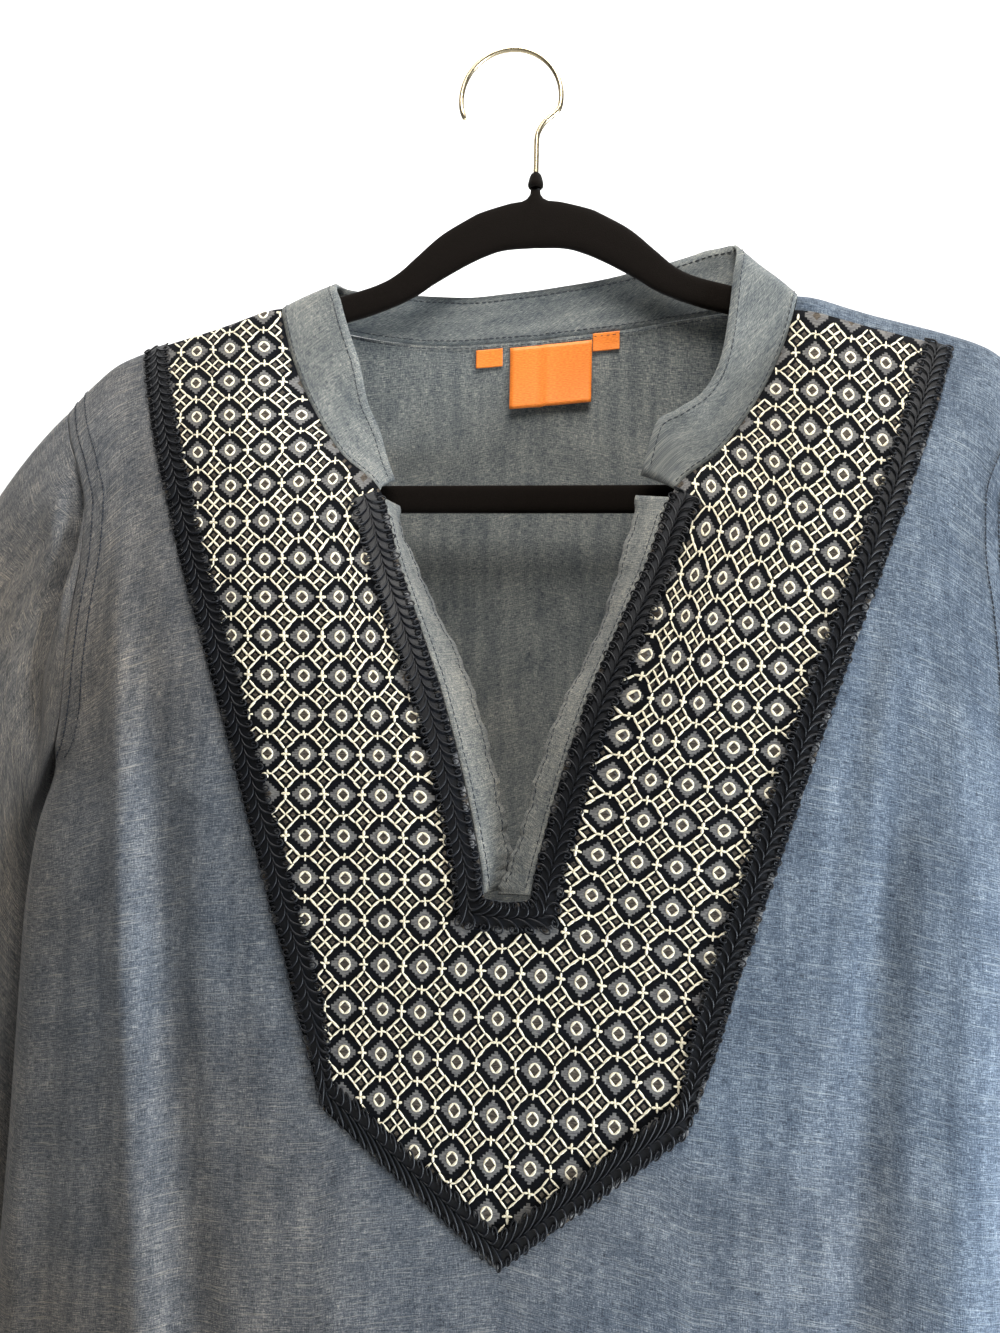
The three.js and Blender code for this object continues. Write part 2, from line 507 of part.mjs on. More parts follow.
// The bib is made from the front's own points, moved out.
const BIB_TOP = { left: 0.55, right: 1.4 };     // its top row on each side
const BIB_LOW = CLOTH / 2 + SEAM_GAP;
function buildBib() {
  const sheet = new Sheet();
  for (const side of [-1, 1]) {
    const top = side < 0 ? BIB_TOP.left : BIB_TOP.right;
    const rows = frontRows.filter((v) => v >= top && v <= BIB_ROW);
    const at = (v, w) => frontPoint(v, w, side);
    sheet.grid(rows.filter((v) => v <= SLIT_ROW + 1), STRIP_COLUMNS, at, side < 0);
    sheet.grid(rows, [...FIELD_COLUMNS, ...BRAID_COLUMNS.slice(1)], at, side < 0);
  }
  return wall('bib', sheet, BIB_LOW, BIB_LOW + BIB_CLOTH, embroidery, frontNormal);
}

function buildSleeve(name, side) {
  const sheet = new Sheet();
  const angles = [...SLEEVE_TURN.map((row) => row.angle), ...SLEEVE_TURN.slice(0, -1).reverse().map((row) => 360 - row.angle)];
  const around = angles.filter((angle) => angle !== 5 && angle !== 355);
  const lengths = [0, 0.05, 0.1, 0.16, 0.23, 0.31, 0.4, 0.5, 0.6, 0.7, 0.8, 0.9, 1];
  sheet.grid(lengths, around, (t, angle) => sleevePoint(angle % 360, t, side), side > 0);
  return wall(name, sheet, -CLOTH / 2, CLOTH / 2, chambray);
}

// Points of a band that stands from one edge to a free edge, set off by a gap.
function bandPoint(from, free, w, gap, bulge) {
  const span = free.clone().sub(from);
  const start = gap / span.length();
  const p = from.clone().addScaledVector(span, mix(start, 1, w));
  p.addScaledVector(bulge, 4 * w * (1 - w));
  return p;
}
function buildCollar() {
  const sheet = new Sheet();
  const at = (k, w) => {
    const s = COLLAR_STATIONS[k];
    const seam = s.panel === 'front' ? frontPoint(s.v, 0, s.side) : backPoint(s.v, 0, s.side);
    const free = new THREE.Vector3(CENTRE_X + s.x, s.y, s.z);
    const out = seam.clone().add(free).multiplyScalar(0.5).sub(new THREE.Vector3(CENTRE_X, 0, -150));
    out.set(out.x, 0, 0).normalize().multiplyScalar(COLLAR_BULGE * Math.min(Math.abs(s.x) / 60, 1));
    return bandPoint(seam, free, w, COLLAR_GAP, out);
  };
  sheet.grid(COLLAR_STATIONS.map((_, k) => k), [0, 0.34, 0.67, 1], at, false);
  return wall('collar', sheet, -COLLAR_CLOTH / 2, COLLAR_CLOTH / 2, chambray);
}
function buildStrip(name, side, stations) {
  const sheet = new Sheet();
  const still = new THREE.Vector3();
  const at = (k, w) => bandPoint(
    frontPoint(stations[k].v, 0, side),
    new THREE.Vector3(CENTRE_X + stations[k].x, stations[k].y, stations[k].z), w, STRIP_GAP, still,
  );
  sheet.grid(stations.map((_, k) => k), [0, 0.5, 1], at, side > 0);
  return wall(name, sheet, -STRIP_CLOTH / 2, STRIP_CLOTH / 2, chambray);
}

// ---------------------------------------------------------------- braids
// A braid runs through sections of three points on the bib: outer edge, middle and inner
// edge. Its loops stand out by turns along both edges.
const BRAID_LOW = BIB_LOW + BIB_CLOTH + BRAID_GAP;
const LOOP_LENGTH = 4.6;
function buildBraid(name, sections) {
  const rings = [];
  const pushRing = (a, b, s, stand) => {
    const points = [0, 1, 2].map((k) => a[k].p.clone().lerp(b[k].p, s));
    const normals = [0, 1, 2].map((k) => a[k].n.clone().lerp(b[k].n, s).normalize());
    const across = points[2].clone().sub(points[0]).normalize();
    points[0].addScaledVector(across, -stand);
    points[2].addScaledVector(across, stand);
    const lift = (k, h) => points[k].clone().addScaledVector(normals[k], h);
    rings.push([
      lift(0, BRAID_LOW), lift(1, BRAID_LOW), lift(2, BRAID_LOW),
      lift(2, BRAID_LOW + BRAID_EDGE), lift(1, BRAID_LOW + BRAID_HEIGHT), lift(0, BRAID_LOW + BRAID_EDGE),
    ]);
  };
  let count = 0;
  for (let k = 0; k + 1 < sections.length; k += 1) {
    const length = sections[k][1].p.distanceTo(sections[k + 1][1].p);
    const steps = Math.max(Math.round(length / LOOP_LENGTH), 1);
    for (let m = 0; m < steps; m += 1) {
      pushRing(sections[k], sections[k + 1], m / steps, count % 2 ? SCALLOP : -SCALLOP);
      count += 1;
    }
  }
  const last = sections.length - 1;
  pushRing(sections[last - 1], sections[last], 1, SCALLOP);
  const positions = rings.flat().flatMap((p) => p.toArray());
  const faces = [];
  for (let i = 0; i + 1 < rings.length; i += 1) {
    for (let j = 0; j < 6; j += 1) {
      const [a, b] = [6 * i + j, 6 * i + ((j + 1) % 6)];
      faces.push([a, b, b + 6], [a, b + 6, a + 6]);
    }
  }
  const end = 6 * (rings.length - 1);
  for (const j of [1, 2, 3, 4]) {
    faces.push([0, j + 1, j], [end, end + j, end + j + 1]);
  }
  return solid(name, positions, faces, braidCord);
}
const braidSection = (side, places) => places.map(([v, w]) => {
  const p = frontPoint(v, w, side);
  return { p, n: frontNormal(p) };
});
function outerBraidSections() {
  const half = (side) => {
    const top = side < 0 ? BIB_TOP.left : BIB_TOP.right;
    const rows = frontRows.filter((v) => v >= top && v <= BIB_ROW - 3);
    const down = rows.map((v) => braidSection(side, [[v, 3], [v, 2.5], [v, 2]]));
    const corner = braidSection(side, [[BIB_ROW, 3], [BIB_ROW - 1, 2.5], [BIB_ROW - 2, 2]]);
    const point = [...FIELD_COLUMNS].reverse().slice(1)
      .map((w) => braidSection(side, [[BIB_ROW, w], [BIB_ROW - 1, w], [BIB_ROW - 2, w]]));
    return [...down, corner, ...point];
  };
  return [...half(-1), ...half(1).reverse().slice(1)];
}
function innerBraidSections() {
  const half = (side) => rowsBetween(COLLAR_ROW, SLIT_ROW + 1)
    .map((v) => braidSection(side, [[v, 1], [v, 0.5], [v, 0]]));
  return [...half(-1), ...half(1).reverse().slice(1)];
}

// ---------------------------------------------------------------- labels
function buildLabel({ name, x, width, drop, top, lift }) {
  const sheet = new Sheet();
  const off = CLOTH / 2 + LABEL_GAP + LABEL_CLOTH / 2;
  const at = (s, u) => {
    const across = x + width * u;
    const z = LABEL_SEAM + top + BACK_TILT * across - drop * s;
    const y = backDepth(Math.abs(across), z, BACK_REACH, Math.sign(across) || 1);
    return new THREE.Vector3(CENTRE_X + across, y - off - lift * s * s, z);
  };
  sheet.grid(range(0, 1, 3), range(0, 1, 3), at, false);
  return wall(name, sheet, -LABEL_CLOTH / 2, LABEL_CLOTH / 2, labelWeave);
}

// ---------------------------------------------------------------- hanger
const vectors = (line) => line.map(([x, z]) => new THREE.Vector2(x, z));
const smoothLine = (line, steps) => new THREE.SplineCurve(vectors(line)).getPoints(steps);
const withMirror = (line) => [...line, ...line.map((p) => new THREE.Vector2(-p.x, p.y)).reverse()];
function buildHanger() {
  const outline = new THREE.Shape(withMirror(smoothLine([...ARM_TOP, ...ARM_END], 36)));
  outline.holes.push(new THREE.Path(withMirror(smoothLine(GAP_LINE, 26))));
  const geometry = new THREE.ExtrudeGeometry(outline, {
    depth: ARM_THICKNESS - 2 * ARM_BEVEL, steps: 1, bevelEnabled: true,
    bevelThickness: ARM_BEVEL, bevelSize: ARM_BEVEL, bevelOffset: -ARM_BEVEL, bevelSegments: 2,
  });
  geometry.translate(CENTRE_X, 0, -(ARM_THICKNESS / 2 - ARM_BEVEL));
  geometry.rotateX(Math.PI / 2);
  const mesh = new THREE.Mesh(geometry, velvet);
  mesh.name = 'hanger';
  return mesh;
}
function buildFerrule() {
  const profile = [[0, 0], [2.5, 0], [2.5, 1.2], [1.9, 2.4], [1.8, 6.6], [1.4, 7.2], [0, 7.2]];
  const geometry = new THREE.LatheGeometry(profile.map(([r, h]) => new THREE.Vector2(r, h)), 14);
  geometry.rotateX(Math.PI / 2);
  geometry.translate(CENTRE_X, 0, ARM_TOP[0][1] + SEAM_GAP);
  const mesh = new THREE.Mesh(geometry, velvet);
  mesh.name = 'hook_ferrule';
  return mesh;
}
function buildHook() {
  const foot = ARM_TOP[0][1] + 7.2 + 2 * SEAM_GAP;
  const bend = [[0, foot], [0, foot + 8], [0, -45], [0.5, -39.5], [3.6, -34.2], [8.2, -30.4]];
  const points = bend.map(([x, z]) => new THREE.Vector3(CENTRE_X + x, 0, z));
  for (let angle = -12; angle <= 206; angle += 18) {
    const a = (angle * Math.PI) / 180;
    points.push(new THREE.Vector3(HOOK_CENTRE.x + HOOK_RADIUS * Math.cos(a), 0, HOOK_CENTRE.z + HOOK_RADIUS * Math.sin(a)));
  }
  const path = new THREE.CatmullRomCurve3(points, false, 'centripetal');
  const section = new THREE.Shape();
  section.absarc(0, 0, HOOK_WIRE / 2, 0, 2 * Math.PI, false);
  const geometry = new THREE.ExtrudeGeometry(section, {
    extrudePath: path, steps: 46, curveSegments: 5, bevelEnabled: false,
  });
  const mesh = new THREE.Mesh(geometry, hookMetal);
  mesh.name = 'hook';
  return mesh;
}

const tunic = new THREE.Group();
tunic.add(
  wall('front', frontSheet, -CLOTH / 2, CLOTH / 2, chambray),
  buildBack(),
  buildSleeve('sleeve_left', -1),
  buildSleeve('sleeve_right', 1),
  buildCollar(),
  buildStrip('opening_strip_left', -1, STRIP_STATIONS.left),
  buildStrip('opening_strip_right', 1, STRIP_STATIONS.right),
  buildBib(),
  buildBraid('braid_outer', outerBraidSections()),
  buildBraid('braid_inner', innerBraidSections()),
  ...LABELS.map(buildLabel),
);
const hanger = new THREE.Group();
hanger.add(buildHanger(), buildFerrule(), buildHook());

const group = new THREE.Group();
group.add(tunic, hanger);
export default group;
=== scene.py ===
"""Embroidered tunic on a hanger.

A long-sleeved chambray tunic with a stand collar, an open V neck, an embroidered bib
edged with scroll gimp braid and woven neck labels, hung on a flat velvet hanger.
Lengths in the tables are millimetres from the tunic's centre line; +Z is up, the front
faces -Y, and the origin is the inner top of the hook.
"""
import json
import math
from functools import partial

import bpy
import numpy as np
from bpy.props import FloatProperty, FloatVectorProperty, PointerProperty
from mathutils import Matrix

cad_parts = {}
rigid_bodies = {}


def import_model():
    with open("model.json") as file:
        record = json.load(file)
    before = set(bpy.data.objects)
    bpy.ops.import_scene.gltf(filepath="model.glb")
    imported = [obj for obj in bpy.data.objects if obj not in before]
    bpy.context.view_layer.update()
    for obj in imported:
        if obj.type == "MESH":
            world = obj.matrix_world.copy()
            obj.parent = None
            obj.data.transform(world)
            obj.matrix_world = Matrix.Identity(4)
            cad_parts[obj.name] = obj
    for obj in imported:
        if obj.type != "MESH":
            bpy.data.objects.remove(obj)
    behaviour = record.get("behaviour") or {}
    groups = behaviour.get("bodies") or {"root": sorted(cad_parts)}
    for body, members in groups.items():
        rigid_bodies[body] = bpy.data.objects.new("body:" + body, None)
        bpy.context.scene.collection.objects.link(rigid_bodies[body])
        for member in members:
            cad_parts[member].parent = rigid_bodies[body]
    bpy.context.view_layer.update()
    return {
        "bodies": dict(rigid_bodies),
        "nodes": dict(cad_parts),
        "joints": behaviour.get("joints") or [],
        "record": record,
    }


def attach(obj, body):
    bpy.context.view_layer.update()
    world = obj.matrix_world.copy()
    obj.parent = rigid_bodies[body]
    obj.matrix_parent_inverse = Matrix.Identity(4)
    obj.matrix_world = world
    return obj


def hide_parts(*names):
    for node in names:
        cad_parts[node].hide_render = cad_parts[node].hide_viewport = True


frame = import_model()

bl_info = {
    "name": "Embroidered Tunic on a Hanger",
    "version": (1, 0, 0),
    "blender": (4, 5, 0),
    "location": "3D View > Sidebar > Tunic",
    "description": "Builds a chambray tunic with an embroidered bib on a velvet hanger",
    "category": "Add Mesh",
}

MM = 0.001
CENTRE_X = 12.5
SEAM_GAP = 0.3


# ---------------------------------------------------------------- curves and tables
def curve(xs, ys, x):
    """Line through a table's rows: cubic Hermite pieces whose slope at each row is the
    harmonic mean of the slopes beside it, so that it never swings past a row."""
    xs, ys, x = (np.asarray(a, float) for a in (xs, ys, x))
    step = np.diff(xs)
    slope = np.diff(ys) / step
    product = slope[:-1] * slope[1:]
    total = np.where(product > 0, slope[:-1] + slope[1:], 1)
    inner = np.where(product > 0, 2 * product / total, 0)
    tangent = np.concatenate([slope[:1], inner, slope[-1:]])
    i = np.clip(np.searchsorted(xs, x, side="left") - 1, 0, len(xs) - 2)
    s = np.clip((x - xs[i]) / step[i], 0, 1)
    s2, s3 = s * s, s * s * s
    return ((2 * s3 - 3 * s2 + 1) * ys[i] + (s3 - 2 * s2 + s) * step[i] * tangent[i]
            + (3 * s2 - 2 * s3) * ys[i + 1] + (s3 - s2) * step[i] * tangent[i + 1])


class Rows:
    """A table with named columns. Called with a column's name and places along the first
    column, it gives the column's values there."""

    def __init__(self, names, rows):
        self.names = names.split()
        self.rows = np.array(rows, float)

    def __getitem__(self, name):
        return self.rows[:, self.names.index(name)]

    def __call__(self, name, v):
        return curve(self.rows[:, 0], self[name], v)


def smoothstep(s):
    """3 s^2 - 2 s^3, with s held between 0 and 1."""
    c = np.clip(s, 0, 1)
    return c * c * (3 - 2 * c)


def mix(a, b, s):
    """The way from a to b by the share s."""
    return a + (b - a) * s


SHOULDER = Rows("x z", [
    (0, -119.5), (90, -119.5), (119, -120), (150, -129), (186, -139.5), (200, -145),
    (212, -154.5), (225, -168)])
FRONT = Rows("v edge_x edge_z inner_x inner_z bib_x bib_z side_x side_z reach roll", [
    (0, 119, -120, 131, -123.5, 186, -139.5, 225, -168, 250, 0),
    (1, 118.4, -124, 130.4, -127.5, 185.4, -143.5, 224, -172, 250, 0),
    (2, 114.5, -140, 126.4, -144, 180, -160, 218.5, -185, 248, 8),
    (3, 108, -157, 119.6, -162, 172.5, -182, 209, -202, 246, 14),
    (4, 98.5, -175, 109, -182.5, 164.5, -204, 201.5, -222, 243, 18),
    (5, 85, -194, 93.5, -204, 156.5, -226, 200.5, -244, 241, 20),
    (6, 66, -211, 77.5, -219, 148.5, -248, 203, -268, 238, 21),
    (7, 54.5, -244, 66, -249, 139, -273, 205, -290, 234, 17),
    (8, 42.5, -273, 54, -278, 129.5, -300, 206.5, -310, 229, 12),
    (9, 31.5, -301, 43, -306, 120, -328, 210.5, -327, 224.5, 8.5),
    (10, 22.8, -328, 34.6, -332, 111.5, -354, 220, -339, 220, 6),
    (11, 16, -353, 28, -356, 103, -380, 228, -368, 228, 4),
    (12, 11, -375, 23.1, -378, 97, -399, 231.5, -394, 231.5, 2),
    (13, 9, -384.5, 20, -397, 92, -413, 233, -414, 233, 0),
    (14, 0, -386, 0, -398.5, 89, -424, 233.5, -430, 233.5, 0),
    (15, 0, -386, 0, -436, 86, -434, 234, -446, 234, 0),
    (16, 0, -386, 0, -476, 83.2, -443, 234.5, -462, 234.5, 0),
    (17, 0, -386, 0, -515, 80.4, -451.6, 235, -478, 235, 0),
    (18, 0, -386, 0, -523, 77, -462.3, 235.5, -492, 235.5, 0),
    (19, 0, -386, 0, -531, 73.5, -473, 236, -506, 236, 0),
    (20, 0, -386, 0, -562, 76, -536, 238, -546, 238, 0),
    (21, 0, -386, 0, -622, 80, -612, 243, -612, 243, 0),
    (22, 0, -386, 0, -700, 84, -697, 249, -694, 249, 0),
    (23, 0, -386, 0, -778, 88, -777, 255, -772, 255, 0),
    (24, 0, -386, 0, -854, 92, -853, 261, -846, 261, 0)])
FRONT_FOLDS = Rows("x_top x_hem top half height", [
    (-182, -124, -215, 13, 5), (-164, -96, -255, 12, -5.5), (-206, -196, -330, 15, -5),
    (158, 118, -250, 11, -4.5), (182, 168, -270, 14, 5.5), (203, 214, -360, 14, -5),
    (-40, -52, -560, 20, 7), (12, 6, -575, 18, -7), (58, 66, -550, 20, 6.5)])
SHOULDER_ROLL, FRONT_DEPTH, FRONT_FALL = 4.6, 55, 85
BACK_DEPTH, BACK_FALL, BACK_NECK_HOLLOW = 34, 140, 6
SIDE_POWER, EDGE_ROLL, FOLD_RUN_IN = 3, 18, 150
BRAID_WIDTH, MITRE = 12.4, 1.06


def shoulder_height(x):
    """Height of the shoulder seam at a distance from the centre."""
    return SHOULDER("z", np.minimum(np.abs(x), 225))


def fold_height(folds, x, z):
    """Sum over the folds of height * run-in * exp(-((x - line) / half)^2)."""
    total = np.zeros(np.broadcast(x, z).shape)
    for x_top, x_hem, top, half, height in folds.rows:
        down = top - z
        line = mix(x_top, x_hem, down / (top + 850))
        total += height * smoothstep(down / FOLD_RUN_IN) * np.exp(-((x - line) / half) ** 2)
    return total


def cloth_depth(x, z, reach, depth, fall):
    """Distance from the hanger's plane: a quarter round over the arm, then
    depth * (1 - exp(-drop / fall)), and back to the side seams on a superellipse."""
    drop = np.maximum(shoulder_height(x) - z, 0)
    left = SHOULDER_ROLL - np.minimum(drop, SHOULDER_ROLL)
    roll = np.sqrt(SHOULDER_ROLL ** 2 - left ** 2)
    out = depth * (1 - np.exp(-drop / fall))
    side = (1 - np.minimum(np.abs(x) / reach, 1) ** SIDE_POWER) ** (1 / SIDE_POWER)
    return roll * np.minimum(1.6 * side, 1) + out * side, side


def front_stations(v):
    """The five places (x, z) across the front at row v, one for each whole column."""
    edge, inner, bib, side = (
        np.stack([FRONT(name + "_x", v), FRONT(name + "_z", v)], -1)
        for name in ("edge", "inner", "bib", "side"))
    span = np.linalg.norm(inner - bib, axis=-1)[..., None]
    braid = mix(bib, inner, BRAID_WIDTH * MITRE / span)
    return np.stack([edge, inner, braid, bib, side], -2)


def front_plan(v, w):
    """Place (x, z) at row v and column w: straight between the stations, and raised onto
    the shoulder seam over the first four rows."""
    v, w = np.broadcast_arrays(np.asarray(v, float), np.asarray(w, float))
    stations = front_stations(v)
    k = np.clip(np.floor(w).astype(int), 0, 3)
    part = (w - k)[..., None]
    pick = lambda s, i: np.take_along_axis(s, i[..., None, None].repeat(2, -1), -2)[..., 0, :]
    plan = mix(pick(stations, k), pick(stations, k + 1), part)
    top_stations = np.broadcast_to(front_stations(np.array(0.0)), stations.shape)
    top = mix(pick(top_stations, k), pick(top_stations, k + 1), part)
    rise = (shoulder_height(top[..., 0]) - top[..., 1]) * (1 - smoothstep(v / 4))
    return plan[..., 0], plan[..., 1] + np.where(v < 4, rise, 0)


def front_depth(x, z, v, side):
    """Distance of the front from the hanger's plane: cloth_depth, less the roll inwards
    at the neck's edge, with the folds on it."""
    base, share = cloth_depth(x, z, FRONT("reach", v), FRONT_DEPTH, FRONT_FALL)
    turn = FRONT("roll", v) * np.exp(-np.maximum(x - FRONT("edge_x", v), 0) / EDGE_ROLL)
    return SEAM_GAP / 2 + base - turn + fold_height(FRONT_FOLDS, side * x, z) * share


# Creases: middle (x, z), direction in degrees from +X, half length, half width, height
# (minus for a trough), all in mm on the cloth.
FRONT_CREASES = Rows("x z turn long wide height", [
    (-163, -420, 95.5, 170, 5, 1.9), (-150, -420, 95.5, 170, 6, -1.7),
    (-178, -400, 95, 150, 6, -1.4), (-139, -351, -19, 14, 1.5, -1.5),
    (-140, -346, -19, 17, 4, 0.8), (-122, -300, 96, 50, 7, -1.0), (-116, -430, 93, 90, 9, -1.3),
    (-196, -318, 68, 22, 4, -1.6), (-190, -344, 76, 28, 4.5, -1.4),
    (136, -335, 82.6, 62, 6, -1.5), (146, -335, 82.6, 62, 6, 1.2), (169, -316, 90, 34, 8, -1.3),
    (156, -440, 86, 80, 8, 1.5), (172, -455, 88, 90, 8, -1.6), (120, -520, 80, 60, 8, -1.4),
    (196, -322, 112, 22, 4, -1.6), (188, -350, 104, 30, 5, -1.3), (-60, -640, 94, 90, 10, 1.8),
    (40, -660, 88, 90, 10, 1.6), (-200, -600, 97, 120, 9, -1.5), (208, -600, 84, 120, 9, -1.5),
    (180, -236, 100, 20, 6, -0.9), (-176, -226, 82, 22, 6, -0.9),
    (-158, -212, 24, 14, 2.2, -1.1), (-156, -222, 30, 16, 2.2, -1.2),
    (-163, -232, 38, 14, 2.4, -1.1), (-150, -236, 20, 12, 2, -0.9)])
BACK_CREASES = Rows("x z turn long wide height", [
    (6, -228, 90, 88, 1.5, -1.5), (2.2, -228, 90, 88, 1.8, 1.4), (-64, -190, 78, 40, 5, 0.8),
    (52, -186, 100, 36, 5, 0.7), (-90, -420, 100, 120, 12, -1.5), (110, -500, 82, 120, 12, 1.6),
    (-150, -300, 70, 45, 6, -1.5), (158, -300, 108, 45, 6, -1.5), (-20, -560, 92, 120, 10, 1.5)])


def crease_height(creases, x, z):
    """Sum over the creases of height * exp(-(along / long)^4 - (off / wide)^2)."""
    total = np.zeros(np.broadcast(x, z).shape)
    for at_x, at_z, turn, long, wide, height in creases.rows:
        c, s = math.cos(math.radians(turn)), math.sin(math.radians(turn))
        along = (x - at_x) * c + (z - at_z) * s
        off = (z - at_z) * c - (x - at_x) * s
        total += height * np.exp(-(along / long) ** 4 - (off / wide) ** 2)
    return total


def front_point(v, w, side, lift=0.0):
    """Place on the front panel at row v and column w (0 the neck and opening's edge, 1 a
    braid's width from it, 2 the outer braid's inner line, 3 the bib's edge, 4 the side),
    lift millimetres out along the normal. The seam allowance swells the armhole's edge."""
    v, w = np.broadcast_arrays(np.asarray(v, float), np.asarray(w, float))
    place = front_base(v, w, side)
    if np.any(lift):
        place = place + np.asarray(lift)[..., None] * front_normal(v, w, side)
    return place


def front_base(v, w, side):
    """front_point on the cloth itself, with its creases and its seam's swell."""
    x, z = front_plan(v, w)
    depth = front_depth(x, z, v, side) + crease_height(FRONT_CREASES, side * x, z)
    inset = (4 - w) * (FRONT("side_x", v) - FRONT("bib_x", v))
    swell = 0.5 * np.exp(-((inset - 7) / 6) ** 2) * (1 + 0.4 * np.sin(1.9 * z))
    depth = depth + swell * (1 - smoothstep(v - 9.5)) * smoothstep(v)
    return np.stack([CENTRE_X + side * x, -depth, z], -1)


def front_normal(v, w, side, step=0.02):
    """Unit normal of the front: the cross product of its two central differences."""
    low_v, high_v = np.maximum(v - step, 0), np.minimum(v + step, 24)
    low_w, high_w = np.maximum(w - step, 0), np.minimum(w + step, 4)
    down = front_base(high_v, w, side) - front_base(low_v, w, side)
    out = front_base(v, high_w, side) - front_base(v, low_w, side)
    return unit(np.cross(down, out) * side)


BACK = Rows("v inner_x inner_z side_x side_z reach", [
    (0, 119, -120, 225, -168, 250), (1, 114, -123.5, 224, -172, 250),
    (2, 97, -125.5, 217.5, -187, 247), (3, 72, -129, 210, -204, 245),
    (4, 40, -132, 205, -222, 243), (5, 0, -133, 203.5, -240, 241),
    (6, 0, -160, 204.5, -262, 239), (7, 0, -196, 206, -285, 235),
    (8, 0, -238, 208, -306, 230), (9, 0, -284, 212, -324, 225),
    (10, 0, -334, 220, -339, 220), (11, 0, -394, 231.5, -394, 231.5),
    (12, 0, -462, 234.5, -462, 234.5), (13, 0, -534, 237.5, -536, 237.5),
    (14, 0, -612, 243, -612, 243), (15, 0, -694, 249, -694, 249),
    (16, 0, -775, 255, -772, 255), (17, 0, -856, 261, -846, 261)])
BACK_FOLDS = Rows("x_top x_hem top half height", [
    (-168, -176, -230, 16, 6), (-118, -112, -300, 18, -6), (-52, -46, -340, 20, 6.5),
    (48, 58, -300, 19, -6), (112, 124, -260, 18, 6), (170, 186, -330, 16, -6)])
BACK_TILT, BACK_NECK_ROW = 0.075, 5


def neck_share(x):
    """1 at the centre and 0 past the neck's corners, on a parabola."""
    return np.maximum(1 - (x / 119) ** 2, 0)


def back_depth(x, z, reach, side):
    """The same rule as the front, with a hollow behind the hanger's arms."""
    base, share = cloth_depth(x, z, reach, BACK_DEPTH, BACK_FALL)
    hollow = BACK_NECK_HOLLOW * neck_share(x) * np.exp(-np.maximum(-135 - z, 0) / 90)
    folds = fold_height(BACK_FOLDS, side * x, z) * share
    return SEAM_GAP / 2 + base + hollow + folds + crease_height(BACK_CREASES, side * x, z)


def back_point(v, w, side):
    """Place on the back panel at row v and column w (0 the centre, 1 the side)."""
    v, w = np.broadcast_arrays(np.asarray(v, float), np.asarray(w, float))
    x = mix(BACK("inner_x", v), BACK("side_x", v), w)
    z = mix(BACK("inner_z", v), BACK("side_z", v), w)
    rise = shoulder_height(mix(119, 225, w)) - mix(-120, -168, w)
    z = z + np.where(v < 4, rise * (1 - smoothstep(v / 4)), 0)
    z = z + (BACK_TILT * side * x * neck_share(x)
             * np.exp(-np.maximum(v - BACK_NECK_ROW, 0) / 2))
    return np.stack([CENTRE_X + side * x, back_depth(x, z, BACK("reach", v), side), z], -1)


# Sleeve, by length t: the line of its inner edge, of its outer edge, half its depth.
SLEEVE = Rows("t inner_x inner_z outer_x outer_z depth", [
    (0, 224, -340, 238, -184, 26), (0.2, 232, -368, 290, -262, 34),
    (0.4, 237, -430, 332, -378, 38), (0.7, 247, -585, 356, -562, 31),
    (1, 264, -762, 368, -748, 23)])
SLEEVE_TURN = Rows("angle v", [
    (0, 0), (5, 1), (21, 2), (42, 3), (64, 4), (85, 5), (106, 6), (125, 7), (143, 8),
    (160, 9), (180, 10)])
SLEEVE_FOLDS = Rows("angle half height", [
    (58, 14, -7), (100, 16, 4), (252, 17, -6), (306, 15, 4)])
# Short creases of a sleeve: middle and half angle, length along it, half length, height.
SLEEVE_CREASES = {
    -1: Rows("angle span t half height", [
        (48, 10, 0.012, 0.013, -7), (61, 10, 0.03, 0.014, -11), (74, 10, 0.052, 0.018, -13),
        (87, 10, 0.077, 0.018, -11), (100, 12, 0.096, 0.02, -6), (50, 16, 0.07, 0.03, 5),
        (95, 14, 0.04, 0.025, 3),
        (122, 26, 0.13, 0.028, -9), (40, 22, 0.16, 0.03, -3),
        (98, 30, 0.44, 0.03, -3.2), (72, 26, 0.52, 0.028, -2.6), (255, 34, 0.12, 0.03, -5),
        (290, 30, 0.5, 0.035, -3.5), (95, 24, 0.86, 0.03, -2.2)]),
    1: Rows("angle span t half height", [
        (56, 14, 0.02, 0.014, -4), (68, 14, 0.042, 0.016, -6), (80, 14, 0.066, 0.018, -6),
        (93, 15, 0.09, 0.02, -4), (125, 26, 0.14, 0.03, -7), (45, 24, 0.2, 0.035, -3),
        (80, 30, 0.47, 0.03, -3), (105, 24, 0.55, 0.028, -2.8), (262, 34, 0.13, 0.03, -5),
        (285, 28, 0.55, 0.03, -3), (92, 24, 0.82, 0.03, -2.4)])}
SLEEVE_BLEND, SLEEVE_REACH = 0.4, 190
ARMHOLE_GAP = 0.35


